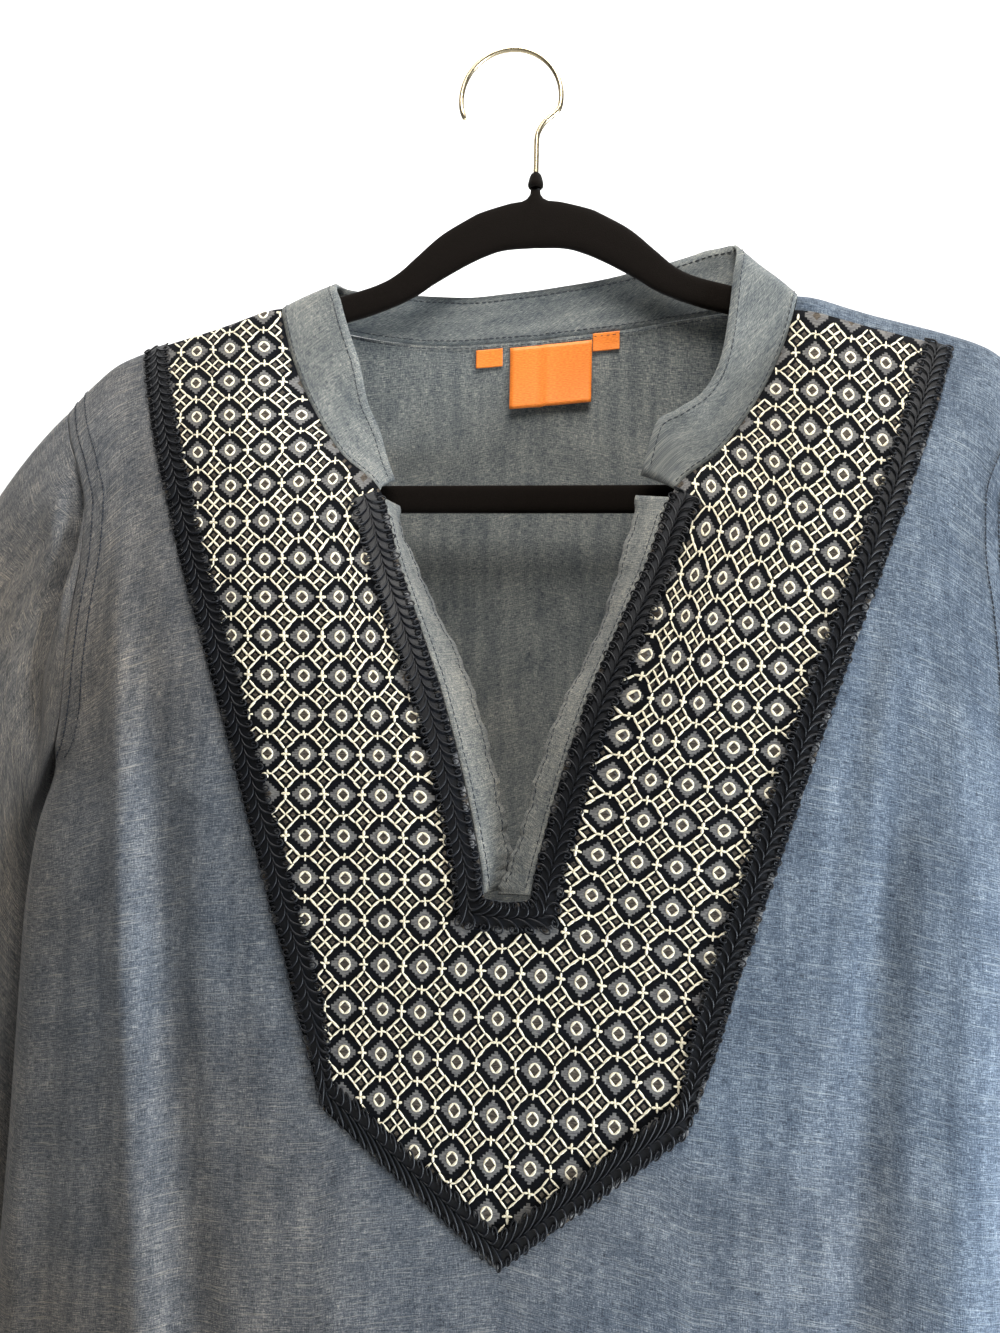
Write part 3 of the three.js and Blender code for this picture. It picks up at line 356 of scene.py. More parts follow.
def sleeve_point(angle, t, side):
    """Place at an angle round the sleeve (0 the shoulder, 90 the front, 180 underarm) and
    a length t along it: the armhole run straight on, blended by a smooth step into a
    flattened tube whose long folds are Gaussians of the angle."""
    angle, t = np.broadcast_arrays(np.asarray(angle, float) % 360, np.asarray(t, float))
    on_front = angle <= 180
    turn = np.where(on_front, angle, 360 - angle)
    v = np.interp(turn, SLEEVE_TURN["angle"], SLEEVE_TURN["v"])
    pick = on_front[..., None]
    edge = np.where(pick, front_point(v, 4.0, side), back_point(v, 1.0, side))
    near = np.where(pick, front_point(v, 3.94, side), back_point(v, 0.985, side))
    tangent = unit(edge - near)
    seam = (turn < 1) | (turn > 179)
    edge[..., 1] = np.where(seam, 0, edge[..., 1])
    down = (1 - np.cos(np.radians(turn))) / 2
    leave = np.stack([side * mix(0.75, 0.4, down), 0.2 * tangent[..., 1],
                      -mix(0.66, 0.92, down)], -1)
    low = np.maximum(v - 0.1, 0)
    run = [np.where(on_front, FRONT(name, v + 0.1) - FRONT(name, low),
                    BACK(name, v + 0.1) - BACK(name, low)) for name in ("side_x", "side_z")]
    gap = ARMHOLE_GAP / np.hypot(*run)
    start = edge + np.stack([-side * run[1] * gap, np.zeros_like(gap), run[0] * gap], -1)
    start = start + leave * (SLEEVE_REACH * t)[..., None]

    cosine, sine = np.cos(np.radians(angle)), np.sin(np.radians(angle))
    folds = sum(height * np.exp(-((angle - at) / half) ** 2)
                for at, half, height in SLEEVE_FOLDS.rows)
    across = (1 + cosine) / 2
    tube = np.stack([
        CENTRE_X + side * mix(SLEEVE("inner_x", t), SLEEVE("outer_x", t), across),
        -sine * (SLEEVE("depth", t) + folds * smoothstep(t / 0.2)),
        mix(SLEEVE("inner_z", t), SLEEVE("outer_z", t), across)], -1)
    place = mix(start, tube, smoothstep(t / SLEEVE_BLEND)[..., None])
    crease = sum(height * np.exp(-((angle - at) / span) ** 2 - ((t - length) / half) ** 2)
                 for at, span, length, half, height in SLEEVE_CREASES[side].rows)
    place[..., 1] -= sine * crease
    return place


# Collar, by t along the neck seam (0 centre back, 5 the shoulder, 11 its front end, and
# minus on the left): the collar's free edge.
COLLAR = Rows("t x y z", [
    (-11, -62, -8, -204), (-10.5, -66.5, -6.5, -192), (-10, -69.5, -5.8, -182),
    (-9, -76, -5.6, -167), (-8, -80, -6.2, -150), (-7, -85.5, -6.6, -134),
    (-6, -91, -5.4, -117), (-5.4, -93.4, -3, -111.5), (-5, -94, 0.2, -108.5),
    (-4.6, -92.6, 3, -108.8), (-4, -88, 5.4, -109.5), (-3, -76, 8.6, -110),
    (-2, -58, 11, -110.5), (-1, -33, 13, -111.5), (0, 0, 14, -108.5), (1, 37, 13, -103.5),
    (2, 62, 11, -98.5), (3, 80, 8.6, -94), (4, 90, 5, -93.5), (4.6, 92.2, 2.4, -95),
    (5, 92.5, -0.4, -98.5), (5.4, 92, -3, -102.5), (6, 91, -5.6, -108), (7, 88.5, -9, -131),
    (8, 85, -11, -151), (9, 77.5, -12.5, -166), (10, 66.5, -13, -174),
    (10.5, 58.5, -12, -178), (11, 51, -11, -203)])
COLLAR_BULGE = 1.6


def neck_seam(t):
    """Place on the neck seam, round both panels."""
    t = np.asarray(t, float)
    parts = []
    for side in (-1, 1):
        back = back_point(np.clip(5 - np.abs(t), 0, 5), 0.0, side)
        front = front_point(np.clip(np.abs(t) - 5, 0, 24), 0.0, side)
        parts.append(np.where((np.abs(t) <= 5)[..., None], back, front))
    return np.where((t < 0)[..., None], parts[0], parts[1])


def collar_point(t, w):
    """A ruled band from the neck seam (w 0) to the free edge (w 1), bowed outwards by a
    parabola, with a slow ripple along its edge."""
    t, w = np.broadcast_arrays(np.asarray(t, float), np.asarray(w, float))
    seam = neck_seam(t)
    free = np.stack([CENTRE_X + COLLAR("x", t), COLLAR("y", t), COLLAR("z", t)], -1)
    place = mix(seam, free, mix(0.012, 1.0, w)[..., None])
    middle = (seam[..., 0] + free[..., 0]) / 2 - CENTRE_X
    bow = COLLAR_BULGE * np.minimum(np.abs(COLLAR("x", t)) / 60, 1) * 4 * w * (1 - w)
    place[..., 0] += np.sign(middle) * bow
    place[..., 1] += 0.35 * np.sin(3.1 * t) * w + 0.2 * np.sin(7.3 * t + 2 * w) * w
    return place


# Binding strips of the neck opening: the free edge at each row of the front.
STRIPS = {
    -1: Rows("v x y z", [
        (6.15, -60, -7.5, -216), (6.6, -56.5, -9.5, -231), (7, -49, -13, -245),
        (7.6, -41, -16, -262), (8.1, -31, -21.5, -279), (8.6, -23.5, -25, -293),
        (9.2, -17, -31, -309), (10, -9.5, -37, -331), (11, -3.4, -41, -354),
        (12, 0, -42.6, -373), (12.7, -1, -40.5, -383)]),
    1: Rows("v x y z", [
        (6.15, 49.5, -11, -212), (6.6, 46.5, -14, -228), (7, 42.5, -18, -243),
        (7.6, 37.5, -20.5, -262), (8.1, 32, -26, -279), (8.6, 25, -29.5, -294),
        (9.2, 18.5, -36, -308), (10, 11, -42.5, -331), (11, 5, -46.5, -355),
        (12, -1, -48.6, -374), (12.7, -5, -49.4, -384.5)])}


def strip_point(v, w, side):
    """A ruled band from the opening's edge (w 0) to the strip's free edge (w 1), with the
    small puckers that its edge stitching draws in."""
    v, w = np.broadcast_arrays(np.asarray(v, float), np.asarray(w, float))
    table = STRIPS[side]
    seam = front_point(v, 0.0, side)
    free = np.stack([CENTRE_X + table("x", v), table("y", v), table("z", v)], -1)
    place = mix(seam, free, mix(0.03, 1.0, w)[..., None])
    place[..., 0] += side * (0.5 * np.sin(9 * v) + 0.3 * np.sin(23 * v)) * w
    return place


# ---------------------------------------------------------------- meshes
def unit(vectors):
    """Vectors of length 1 in the same directions."""
    return vectors / np.maximum(np.linalg.norm(vectors, axis=-1, keepdims=True), 1e-9)


def spread(low, high, count):
    """Ends of count even steps from low to high."""
    return np.linspace(low, high, count + 1)


def cloth_uv(places, full=False):
    """Cloth coordinates in mm of a grid [row, column]: lengths summed along the rows and
    down the columns. Unless full, rows leave out their fall and columns their sideways
    run, which keeps the weave level where a panel's rows slant."""
    across, down = np.diff(places, axis=1), np.diff(places, axis=0)
    if not full:
        across, down = across[..., :2], down[..., 1:]
    across, down = np.linalg.norm(across, axis=-1), np.linalg.norm(down, axis=-1)
    u = np.concatenate([np.zeros_like(across[:, :1]), np.cumsum(across, 1)], 1)
    v = np.concatenate([np.zeros_like(down[:1]), np.cumsum(down, 0)], 0)
    return np.stack([u, -v], -1)


class Patch:
    """Grids of quads gathered for one mesh, each with its UV layers in mm."""

    def __init__(self):
        self.places, self.faces, self.uvs, self.count = [], [], {}, 0

    def add(self, places, flip=False, keep=None, **uvs):
        """Add places [row, column, xyz]; keep says which cells are kept."""
        rows, columns = places.shape[:2]
        index = np.arange(rows * columns).reshape(rows, columns) + self.count
        quads = np.stack([index[:-1, :-1], index[1:, :-1], index[1:, 1:], index[:-1, 1:]], -1)
        quads = quads.reshape(-1, 4) if keep is None else quads[keep]
        self.faces.append(quads[:, ::-1] if flip else quads)
        self.places.append(places.reshape(-1, 3))
        for name, uv in uvs.items():
            self.uvs.setdefault(name, []).append(uv.reshape(-1, 2))
        self.count += rows * columns
        return self

    def add_many(self, grids, flip=False):
        """Add many small grids [grid, row, column, xyz] of one size."""
        number, rows, columns = grids.shape[:3]
        index = np.arange(rows * columns).reshape(rows, columns)
        quads = np.stack([index[:-1, :-1], index[:-1, 1:], index[1:, 1:], index[1:, :-1]],
                         -1).reshape(-1, 4)
        quads = quads[:, ::-1] if flip else quads
        first = self.count + rows * columns * np.arange(number)
        self.faces.append((quads[None] + first[:, None, None]).reshape(-1, 4))
        self.places.append(grids.reshape(-1, 3))
        self.count += number * rows * columns

    def build(self, name, weld=0.02):
        """Make the mesh object: corners nearer than weld mm become one, quads that close
        up become triangles, and each UV layer keeps its grid's own values."""
        places, faces = np.concatenate(self.places), np.concatenate(self.faces)
        _, first, welded = np.unique(np.round(places / weld), axis=0,
                                     return_index=True, return_inverse=True)
        welded = welded.reshape(-1)
        corners = welded[faces]
        stays = corners != np.roll(corners, -1, 1)
        stays &= (stays.sum(1) >= 3)[:, None]
        stays &= (corners[:, 0] != corners[:, 2])[:, None]
        totals = stays.sum(1)
        totals = totals[totals > 0]
        loops, source = corners[stays], faces[stays]
        used, loops = np.unique(loops, return_inverse=True)
        loops = loops.reshape(-1)
        mesh = bpy.data.meshes.new(name)
        mesh.vertices.add(len(used))
        mesh.vertices.foreach_set("co", (places[first[used]] * MM).astype(np.float32).ravel())
        mesh.loops.add(len(loops))
        mesh.loops.foreach_set("vertex_index", loops.astype(np.int32))
        mesh.polygons.add(len(totals))
        starts = np.concatenate([[0], np.cumsum(totals)[:-1]])
        mesh.polygons.foreach_set("loop_start", starts.astype(np.int32))
        mesh.polygons.foreach_set("use_smooth", np.ones(len(totals), bool))
        mesh.update(calc_edges=True)
        for layer, parts in self.uvs.items():
            scale = 1 if layer == "lattice" else MM
            values = np.concatenate(parts)[source] * scale
            mesh.uv_layers.new(name=layer).data.foreach_set("uv", values.ravel())
        piece = bpy.data.objects.new(name, mesh)
        bpy.context.collection.objects.link(piece)
        return piece


def thicken(piece, thickness, offset=-1.0):
    """Give a sheet its thickness in mm, inwards by default."""
    solidify = piece.modifiers.new("Thickness", "SOLIDIFY")
    solidify.thickness = thickness * MM
    solidify.offset = offset
    solidify.use_even_offset = False
    return piece


def finish_piece(piece, material, slot, *nodes):
    """Dress a piece, make it ride on the tunic and hide the solids that it stands for."""
    piece.data.materials.append(material)
    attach(piece, "root")
    if nodes:
        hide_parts(*nodes)
    return piece


def tube(path, radius, sides):
    """A round cord along path [.., point, xyz]: a circle round each point, square to the
    path. Several paths go in one array."""
    tangent = unit(np.gradient(path, axis=-2))
    side = unit(np.cross(tangent, [0.0, 1.0, 0.0]) + 1e-6)
    other = np.cross(side, tangent)
    angle = np.linspace(0, 2 * np.pi, sides + 1)
    ring = (side[..., None, :] * np.cos(angle)[:, None]
            + other[..., None, :] * np.sin(angle)[:, None])
    return path[..., None, :] + ring * np.asarray(radius)[..., None, None]


# ---------------------------------------------------------------- materials
def linear(hex_colour):
    """An sRGB hex colour as the linear RGBA that the shader takes."""
    value = hex_colour.lstrip("#")
    parts = [int(value[i:i + 2], 16) / 255 for i in (0, 2, 4)]
    return tuple(c / 12.92 if c <= 0.04045 else ((c + 0.055) / 1.055) ** 2.4
                 for c in parts) + (1.0,)


BLACK, WHITE = linear("#000000"), linear("#ffffff")


def add_node(material, kind, sockets=(), stops=(), output=0, **settings):
    """Add a shader node and return one of its outputs. sockets give inputs in order, or by
    number in a dictionary; settings name its properties, or its inputs with _ for spaces.
    An input takes a value or the output that feeds it. stops are a ramp's places and
    linear colours."""
    tree = material.node_tree
    node = tree.nodes.new("ShaderNode" + kind)
    inputs = dict(sockets if isinstance(sockets, dict) else enumerate(sockets))
    for key, value in settings.items():
        if hasattr(node, key):
            setattr(node, key, value)
        else:
            inputs[key.replace("_", " ")] = value
    for key, value in inputs.items():
        if isinstance(value, bpy.types.NodeSocket):
            tree.links.new(value, node.inputs[key])
        else:
            node.inputs[key].default_value = value
    for number, (place, colour) in enumerate(stops):
        elements = node.color_ramp.elements
        element = elements[number] if number < len(elements) else elements.new(1.0)
        element.position, element.color = place, colour
    return node.outputs[output] if len(node.outputs) else None


def new_material(name):
    """A material without nodes, and add_node for it."""
    material = bpy.data.materials.new(name)
    material.use_nodes = True
    material.node_tree.nodes.clear()
    return material, partial(add_node, material)


def chambray_material(dark, mid, light, fleck, warm, cool, run, slubs):
    """Cotton chambray: blue warp and pale weft in a plain weave of slubby yarns, washed
    soft. Thick and thin places in the yarns give short pale bars across and down the
    cloth. Its grains are 0.3 to 0.5 mm, a little coarser than the yarns, to show. The
    tint from warm to cool across it stands for mixed light and isn't in the yarn: with
    both set to white, the cloth is the same all over."""
    material, add = new_material("Slubbed cotton chambray")
    uv = add("UVMap", uv_map="cloth")
    # Grain size in mm, its stretch across and down, and the noise's detail.
    weft, warp, fine_weft, fine_warp, slub, bands = (
        add("TexNoise", Vector=add("Mapping", Vector=uv, Scale=(1 / across, 1 / down, 1)),
            Scale=1 / (size * MM), Detail=detail, Roughness=0.5)
        for size, across, down, detail in (
            (0.38, run, 1, 1), (0.4, 1, 0.75 * run, 1), (0.3, 3, 1, 1), (0.3, 1, 3, 1),
            (0.5, 45, 1, 1), (5, 1, 9, 2)))
    wash = add("TexNoise", Vector=uv, Scale=1 / (24 * MM), Detail=3, Roughness=0.6)
    yarn = add("Math", (weft, 0.34), operation="MULTIPLY")
    for part, weight in ((warp, 0.24), (fine_weft, 0.24), (fine_warp, 0.18)):
        yarn = add("Math", (part, weight, yarn), operation="MULTIPLY_ADD")
    cloth = add("ValToRGB", Fac=yarn,
                stops=((0.35, dark), (0.47, mid), (0.55, light), (0.67, fleck)))
    lines = add("ValToRGB", Fac=slub, stops=((0.6, BLACK), (0.72, WHITE)))
    share = add("Math", (lines, slubs), operation="MULTIPLY")
    cloth = add("Mix", {0: share, 6: cloth, 7: fleck}, data_type="RGBA", output=2)
    place = add("TexCoord", output="Object")
    drift = add("TexNoise", Vector=place, Scale=1 / (260 * MM), Detail=2, Roughness=0.5)
    side = add("Math", (add("SeparateXYZ", (place,)), 1.4, drift), operation="MULTIPLY_ADD")
    for part, low, high in ((wash, (0.35, linear("#d9dce0")), (0.65, WHITE)),
                            (bands, (0.35, linear("#dcdfe3")), (0.65, WHITE)),
                            (side, (0.2, warm), (0.6, cool))):
        shade = add("ValToRGB", Fac=part, stops=(low, high))
        cloth = add("Mix", {0: 1.0, 6: cloth, 7: shade}, data_type="RGBA",
                    blend_type="MULTIPLY", output=2)
    add("OutputMaterial", Surface=add(
        "BsdfPrincipled", Base_Color=cloth, Roughness=0.94, Sheen_Weight=0.08,
        Sheen_Roughness=0.5, Specular_IOR_Level=0.15,
        Normal=add("Bump", Height=yarn, Strength=0.6, Distance=0.35 * MM)))
    return material


def embroidery_material(grey_dark, grey, navy, navy_light, brown, brown_light):
    """The bib's ground: near-black navy cotton, worked in satin stitch with grey lozenges
    whose edges step one thread at a time, and brown panes where the ground shows. On the
    lattice map a lozenge is where |across| / 0.375 + |down| / 0.33 is under 1.03."""
    material, add = new_material("Satin stitched navy ground")
    uv = add("UVMap", uv_map="lattice")
    place = add("TexCoord", output="Object")
    values = {
        "x": add("SeparateXYZ", (uv,)), "y": add("SeparateXYZ", (uv,), output=1),
        "thread": add("TexNoise", Vector=add("Mapping", Vector=uv, Scale=(0.2, 1, 1)),
                      Scale=30, Detail=1, Roughness=0.5)}
    # Sixteen threads to a pitch; distances are in pitches from the nearest ring.
    for name, operation, *terms in (
            ("rows", "MULTIPLY", "y", 16), ("row", "FLOOR", "rows"),
            ("row", "ADD", "row", 0.5), ("row", "DIVIDE", "row", 16),
            ("stepped", "PINGPONG", "row", 0.5), ("down", "PINGPONG", "y", 0.5),
            ("across", "PINGPONG", "x", 0.5), ("share", "DIVIDE", "across", 0.375),
            ("fall", "DIVIDE", "stepped", 0.33), ("reach", "ADD", "share", "fall"),
            ("fuzz", "MULTIPLY", "thread", 0.12), ("reach", "ADD", "reach", "fuzz"),
            ("fill", "LESS_THAN", "reach", 1.03), ("hole", "ADD", "across", "down"),
            ("hole", "LESS_THAN", "hole", 0.125), ("far_x", "SUBTRACT", 0.5, "across"),
            ("far_y", "SUBTRACT", 0.5, "down"), ("side", "SUBTRACT", "far_x", 0.19),
            ("side", "ABSOLUTE", "side"), ("side", "ADD", "side", "far_y"),
            ("top", "SUBTRACT", "far_y", 0.175), ("top", "ABSOLUTE", "top"),
            ("top", "ADD", "top", "far_x"), ("pane", "MINIMUM", "side", "top"),
            ("pane", "LESS_THAN", "pane", 0.068), ("bare", "MAXIMUM", "hole", "pane"),
            ("ridge", "PINGPONG", "rows", 0.5), ("ridge", "MULTIPLY", "ridge", 0.6),
            ("relief", "MULTIPLY", "fill", 0.5), ("relief", "ADD", "ridge", "relief")):
        values[name] = add("Math", [values.get(term, term) for term in terms],
                           operation=operation)
    mottle = add("TexNoise", Vector=add("Mapping", Vector=place, Scale=(0.4, 1, 1 / 0.6)),
                 Scale=1 / (0.8 * MM), Detail=2, Roughness=0.5)
    greys, navies, browns = (
        add("ValToRGB", Fac=mottle, stops=stops)
        for stops in (((0.35, grey_dark), (0.65, grey)), ((0.4, navy), (0.75, navy_light)),
                      ((0.35, brown), (0.7, brown_light))))
    colour = add("Mix", {0: values["fill"], 6: navies, 7: greys}, data_type="RGBA", output=2)
    colour = add("Mix", {0: values["bare"], 6: colour, 7: browns}, data_type="RGBA", output=2)
    add("OutputMaterial", Surface=add(
        "BsdfPrincipled", Base_Color=colour, Roughness=0.9, Specular_IOR_Level=0.12,
        Normal=add("Bump", Height=values["relief"], Strength=0.5, Distance=0.4 * MM)))
    return material


def thread_material(name, dark, light, grain=0.35, roughness=0.62, gloss=0.35):
    """Twisted thread or cord: fine plies, grain mm apart, catch the light in short
    streaks."""
    material, add = new_material(name)
    plies = add("TexNoise", Vector=add("TexCoord", output="Object"), Scale=1 / (grain * MM),
                Detail=2, Roughness=0.6)
    add("OutputMaterial", Surface=add(
        "BsdfPrincipled", Roughness=roughness, Specular_IOR_Level=gloss,
        Base_Color=add("ValToRGB", Fac=plies, stops=((0.32, dark), (0.68, light))),
        Normal=add("Bump", Height=plies, Strength=0.5, Distance=0.12 * MM)))
    return material


def label_material(dark, light):
    """Damask label tape: a dense satin weave in bright orange, with fine ribs 0.42 mm
    apart along its width and a soft gloss."""
    material, add = new_material("Woven label tape")
    uv = add("UVMap", uv_map="cloth")
    ribs = add("TexWave", Vector=uv, wave_type="BANDS", bands_direction="Y",
               Scale=1 / (0.42 * MM) / 6.283, Distortion=0.4, Detail=1, output="Fac")
    grain = add("TexNoise", Vector=add("Mapping", Vector=uv, Scale=(1 / 3, 1, 1)),
                Scale=1 / (0.5 * MM), Detail=2, Roughness=0.5)
    add("OutputMaterial", Surface=add(
        "BsdfPrincipled", Roughness=0.55, Sheen_Weight=0.1,
        Base_Color=add("ValToRGB", Fac=grain, stops=((0.3, dark), (0.7, light))),
        Normal=add("Bump", Height=ribs, Strength=0.4, Distance=0.06 * MM)))
    return material


def velvet_material(dark, bloom):
    """Flocked velvet: short black nylon fibres stand on the moulding, so it drinks light
    face on and shows a grey bloom at its edges."""
    material, add = new_material("Black flock")
    pile = add("TexNoise", Vector=add("TexCoord", output="Object"), Scale=1 / (0.5 * MM),
               Detail=3, Roughness=0.7)
    add("OutputMaterial", Surface=add(
        "BsdfPrincipled", Roughness=1.0, Sheen_Weight=0.12, Sheen_Roughness=0.4,
        Specular_IOR_Level=0.03,
        Base_Color=add("ValToRGB", Fac=pile, stops=((0.3, dark), (0.75, bloom))),
        Normal=add("Bump", Height=pile, Strength=0.6, Distance=0.3 * MM)))
    return material


def wire_material(colour):
    """Drawn steel wire, plated a pale champagne: near-mirror with faint draw lines."""
    material, add = new_material("Champagne plated wire")
    place = add("Mapping", Vector=add("TexCoord", output="Object"), Scale=(1, 1, 1 / 12))
    lines = add("TexNoise", Vector=place, Scale=1 / (0.8 * MM), Detail=2, Roughness=0.5)
    add("OutputMaterial", Surface=add(
        "BsdfPrincipled", Base_Color=colour, Metallic=1.0,
        Roughness=add("Math", (lines, 0.16, 0.2), operation="MULTIPLY_ADD"),
        Normal=add("Bump", Height=lines, Strength=0.3, Distance=0.02 * MM)))
    return material


def studio_material(dark, light):
    """Seamless paper: matt, with a barely visible tooth."""
    material, add = new_material("Seamless paper")
    tooth = add("TexNoise", Vector=add("TexCoord", output="Object"), Scale=1 / (3 * MM),
                Detail=2, Roughness=0.5)
    tone = add("ValToRGB", Fac=tooth, stops=((0.3, dark), (0.7, light)))
    add("OutputMaterial", Surface=add("BsdfPrincipled", Base_Color=tone, Roughness=0.95))
    return material


# ---------------------------------------------------------------- pieces
# Row of the front where the bib starts on each side, the row of the opening's foot, and
# how far the bib and the braids lie off the front, in mm.
BIB_TOP, FOOT_ROW = {-1: 0.55, 1: 1.4}, 14
LIFT, BRAID_LIFT = 0.6, 0.3


def front_rows(low=0.0, high=24.0):
    """Rows of a fine grid on the front, closer where a row is longer."""
    marks = [np.arange(0, 20, 0.2), np.arange(20, 24.001, 1 / 18)]
    rows = np.concatenate(marks)
    rows = rows[(rows > low + 1e-6) & (rows < high - 1e-6)]
    return np.concatenate([[low], rows, [high]])


def front_columns(low=0, high=4):
    """Columns of the same grid, closer over the bib and towards the side."""
    marks = np.concatenate([np.arange(0, 2, 0.25), np.arange(2, 3, 1 / 14),
                            np.arange(3, 4.001, 1 / 26)])
    columns = marks[(marks > low + 1e-6) & (marks < high - 1e-6)]
    return np.concatenate([[low], columns, [high]])


def side_uv(places, side, first=0.0):
    """Cloth coordinates with the centre line at 0 and the left half negative."""
    uv = cloth_uv(places)
    uv[..., 0] = side * (uv[..., 0] + first)
    return uv


def build_front(material, cloth):
    """Front panel: both halves of front_point's grid, welded down the centre line. Under
    the opening's foot the columns start at the centre."""
    patch = Patch()
    v, w = front_rows(), front_columns()
    for side in (-1, 1):
        places = front_point(v[:, None], w[None, :], side)
        keep = (v[:-1, None] < FOOT_ROW - 1e-6) | (w[None, :-1] > 1 - 1e-6)
        uv = side_uv(places, side, FRONT("edge_x", v)[:, None])
        patch.add(places, side < 0, keep, cloth=uv)
    piece = thicken(patch.build("front_panel"), cloth)
    return finish_piece(piece, material, "chambray", "front")


def build_back(material, cloth):
    """Back panel: both halves of back_point's grid, welded down the centre line."""
    patch = Patch()
    v = np.concatenate([np.arange(0, 10, 0.2), np.arange(10, 17.001, 1 / 16)])
    w = spread(0, 1, 48)
    for side in (-1, 1):
        places = back_point(v[:, None], w[None, :], side)
        uv = side_uv(places, side, BACK("inner_x", v)[:, None])
        patch.add(places, side > 0, cloth=uv)
    piece = thicken(patch.build("back_panel"), cloth)
    return finish_piece(piece, material, "chambray", "back")


def build_sleeve(side, material, cloth):
    """Sleeve: sleeve_point's grid, closed round."""
    angles, lengths = spread(0, 360, 90), spread(0, 1, 120) ** 1.15
    places = sleeve_point(angles[None, :], lengths[:, None], side)
    places[:, -1] = places[:, 0]
    uv = cloth_uv(places, True)
    name = "left" if side < 0 else "right"
    piece = Patch().add(places, side > 0, cloth=uv).build(name + "_sleeve_cloth")
    thicken(piece, cloth)
    return finish_piece(piece, material, "chambray", "sleeve_" + name)


def build_collar(material, thickness):
    """Stand collar: collar_point's band, from front end to front end."""
    t, w = spread(-11, 11, 264), spread(0, 1, 10)
    places = collar_point(t[:, None], w[None, :])
    piece = Patch().add(places, False, cloth=cloth_uv(places, True)).build("collar_band")
    thicken(piece, thickness, 0)
    return finish_piece(piece, material, "chambray", "collar")


def build_strip(side, material, thickness):
    """Binding strip: strip_point's band, from the collar down to the opening's foot."""
    name = "left" if side < 0 else "right"
    v, w = spread(6.15, 12.7, 130), spread(0, 1, 7)
    places = strip_point(v[:, None], w[None, :], side)
    piece = Patch().add(places, side < 0, cloth=cloth_uv(places, True)).build("strip_" + name)
    thicken(piece, thickness, 0)
    return finish_piece(piece, material, "chambray", "opening_strip_" + name)


# The stitched lattice, charted in mm from the hook's line: how far across the
# charted columns of rings fall at some heights, and how high the charted rows at some
# places across. Hidden places carry the spacing on.
CHART_COLUMNS = (-1, 1, 3, 5, 7, 9, 11, 13, 15)
COLUMN_CHART = Rows("z a b c d e f g h i", [
    (-510, -131, -98, -65.5, -35.5, -5.5, 28, 60, 92, 125),
    (-450, -132, -99, -65.5, -34.5, -3, 28.5, 61.5, 94, 128),
    (-390, -135, -101, -67, -33.5, -1, 33, 65.5, 99, 133),
    (-330, -137, -103, -70.5, -39.5, 1, 43, 72, 104.5, 138),
    (-270, -139, -107.5, -75, -51, 3, 58.5, 80.5, 109, 141),
    (-210, -145, -114, -85.5, -60, 3, 68, 93.5, 118.5, 148.5),
    (-150, -156.5, -123.5, -92, -62, 3, 64, 95, 125, 155),
    (-90, -168, -132, -98, -64, 3, 66, 98, 130, 161)])
CHART_ROWS = (0, 3, 6, 9, 12, 15, 18, 20)
ROW_CHART = Rows("x a b c d e f g h", [
    (-180, 144, 197, 247, 297, 347, 399, 449, 483),
    (-120, 142, 195, 246, 296, 346, 398, 449, 484),
    (-60, 141, 184, 245, 296, 345, 396, 449, 485),
    (0, 141, 183, 246, 297, 346, 395, 451, 490),
    (60, 142, 186, 250, 303, 352, 402, 454, 491),
    (120, 150, 206, 258, 307, 357, 408, 459, 495),
    (180, 162, 216, 266, 313, 363, 415, 464, 500)])


def between(value, stations, marks):
    """The mark at a value, straight between and beyond stations that rise along the last
    axis."""
    marks = np.asarray(marks, float)
    k = (value[..., None] > stations[..., 1:-1]).sum(-1)
    low, high = (np.take_along_axis(stations, k[..., None] + n, -1)[..., 0] for n in (0, 1))
    return marks[k] + (value - low) / (high - low) * (marks[k + 1] - marks[k])


def lattice(x, z):
    """Column and row of the lattice, in whole numbers at its rings, from the charts."""
    columns = np.stack([COLUMN_CHART(name, z) for name in "abcdefghi"], -1)
    rows = np.stack([ROW_CHART(name, x) for name in "abcdefgh"], -1)
    return between(x, columns, CHART_COLUMNS), between(-z, rows, CHART_ROWS)


def build_bib(material, cloth):
    """Bib: the front's own surface lifted clear of it, from the opening to its braid."""
    patch = Patch()
    for side in (-1, 1):
        v = front_rows(BIB_TOP[side], 19)
        w = front_columns(0, 3)
        places = front_point(v[:, None], w[None, :], side, LIFT)
        keep = (v[:-1, None] < FOOT_ROW - 1e-6) | (w[None, :-1] > 1 - 1e-6)
        i, j = lattice(places[..., 0] - CENTRE_X, places[..., 2])
        patch.add(places, side < 0, keep, cloth=side_uv(places, side),
                  lattice=np.stack([i, -j], -1))
    piece = thicken(patch.build("bib_panel"), cloth)
    return finish_piece(piece, material, "embroidered_cloth", "bib")


def braid_sections(kind):
    """Sections (side, v, w) of a braid's outer edge, middle and inner edge, in order from
    the left top round to the right top."""
    halves = []
    for side in (-1, 1):
        if kind == "outer":
            rows = np.arange(BIB_TOP[side], 16.01, 0.25)
            half = [[(v, 3), (v, 2.5), (v, 2)] for v in rows] + [[(19, 3), (18, 2.5), (17, 2)]]
            half += [[(19, w), (18, w), (17, w)] for w in np.arange(1.9, 0.99, -0.1)]
        else:
            half = [[(v, 1), (v, 0.5), (v, 0)] for v in np.arange(6, 14.01, 0.25)]
        halves.append([(side, section) for section in half])
    return halves[0] + halves[1][::-1][1:]


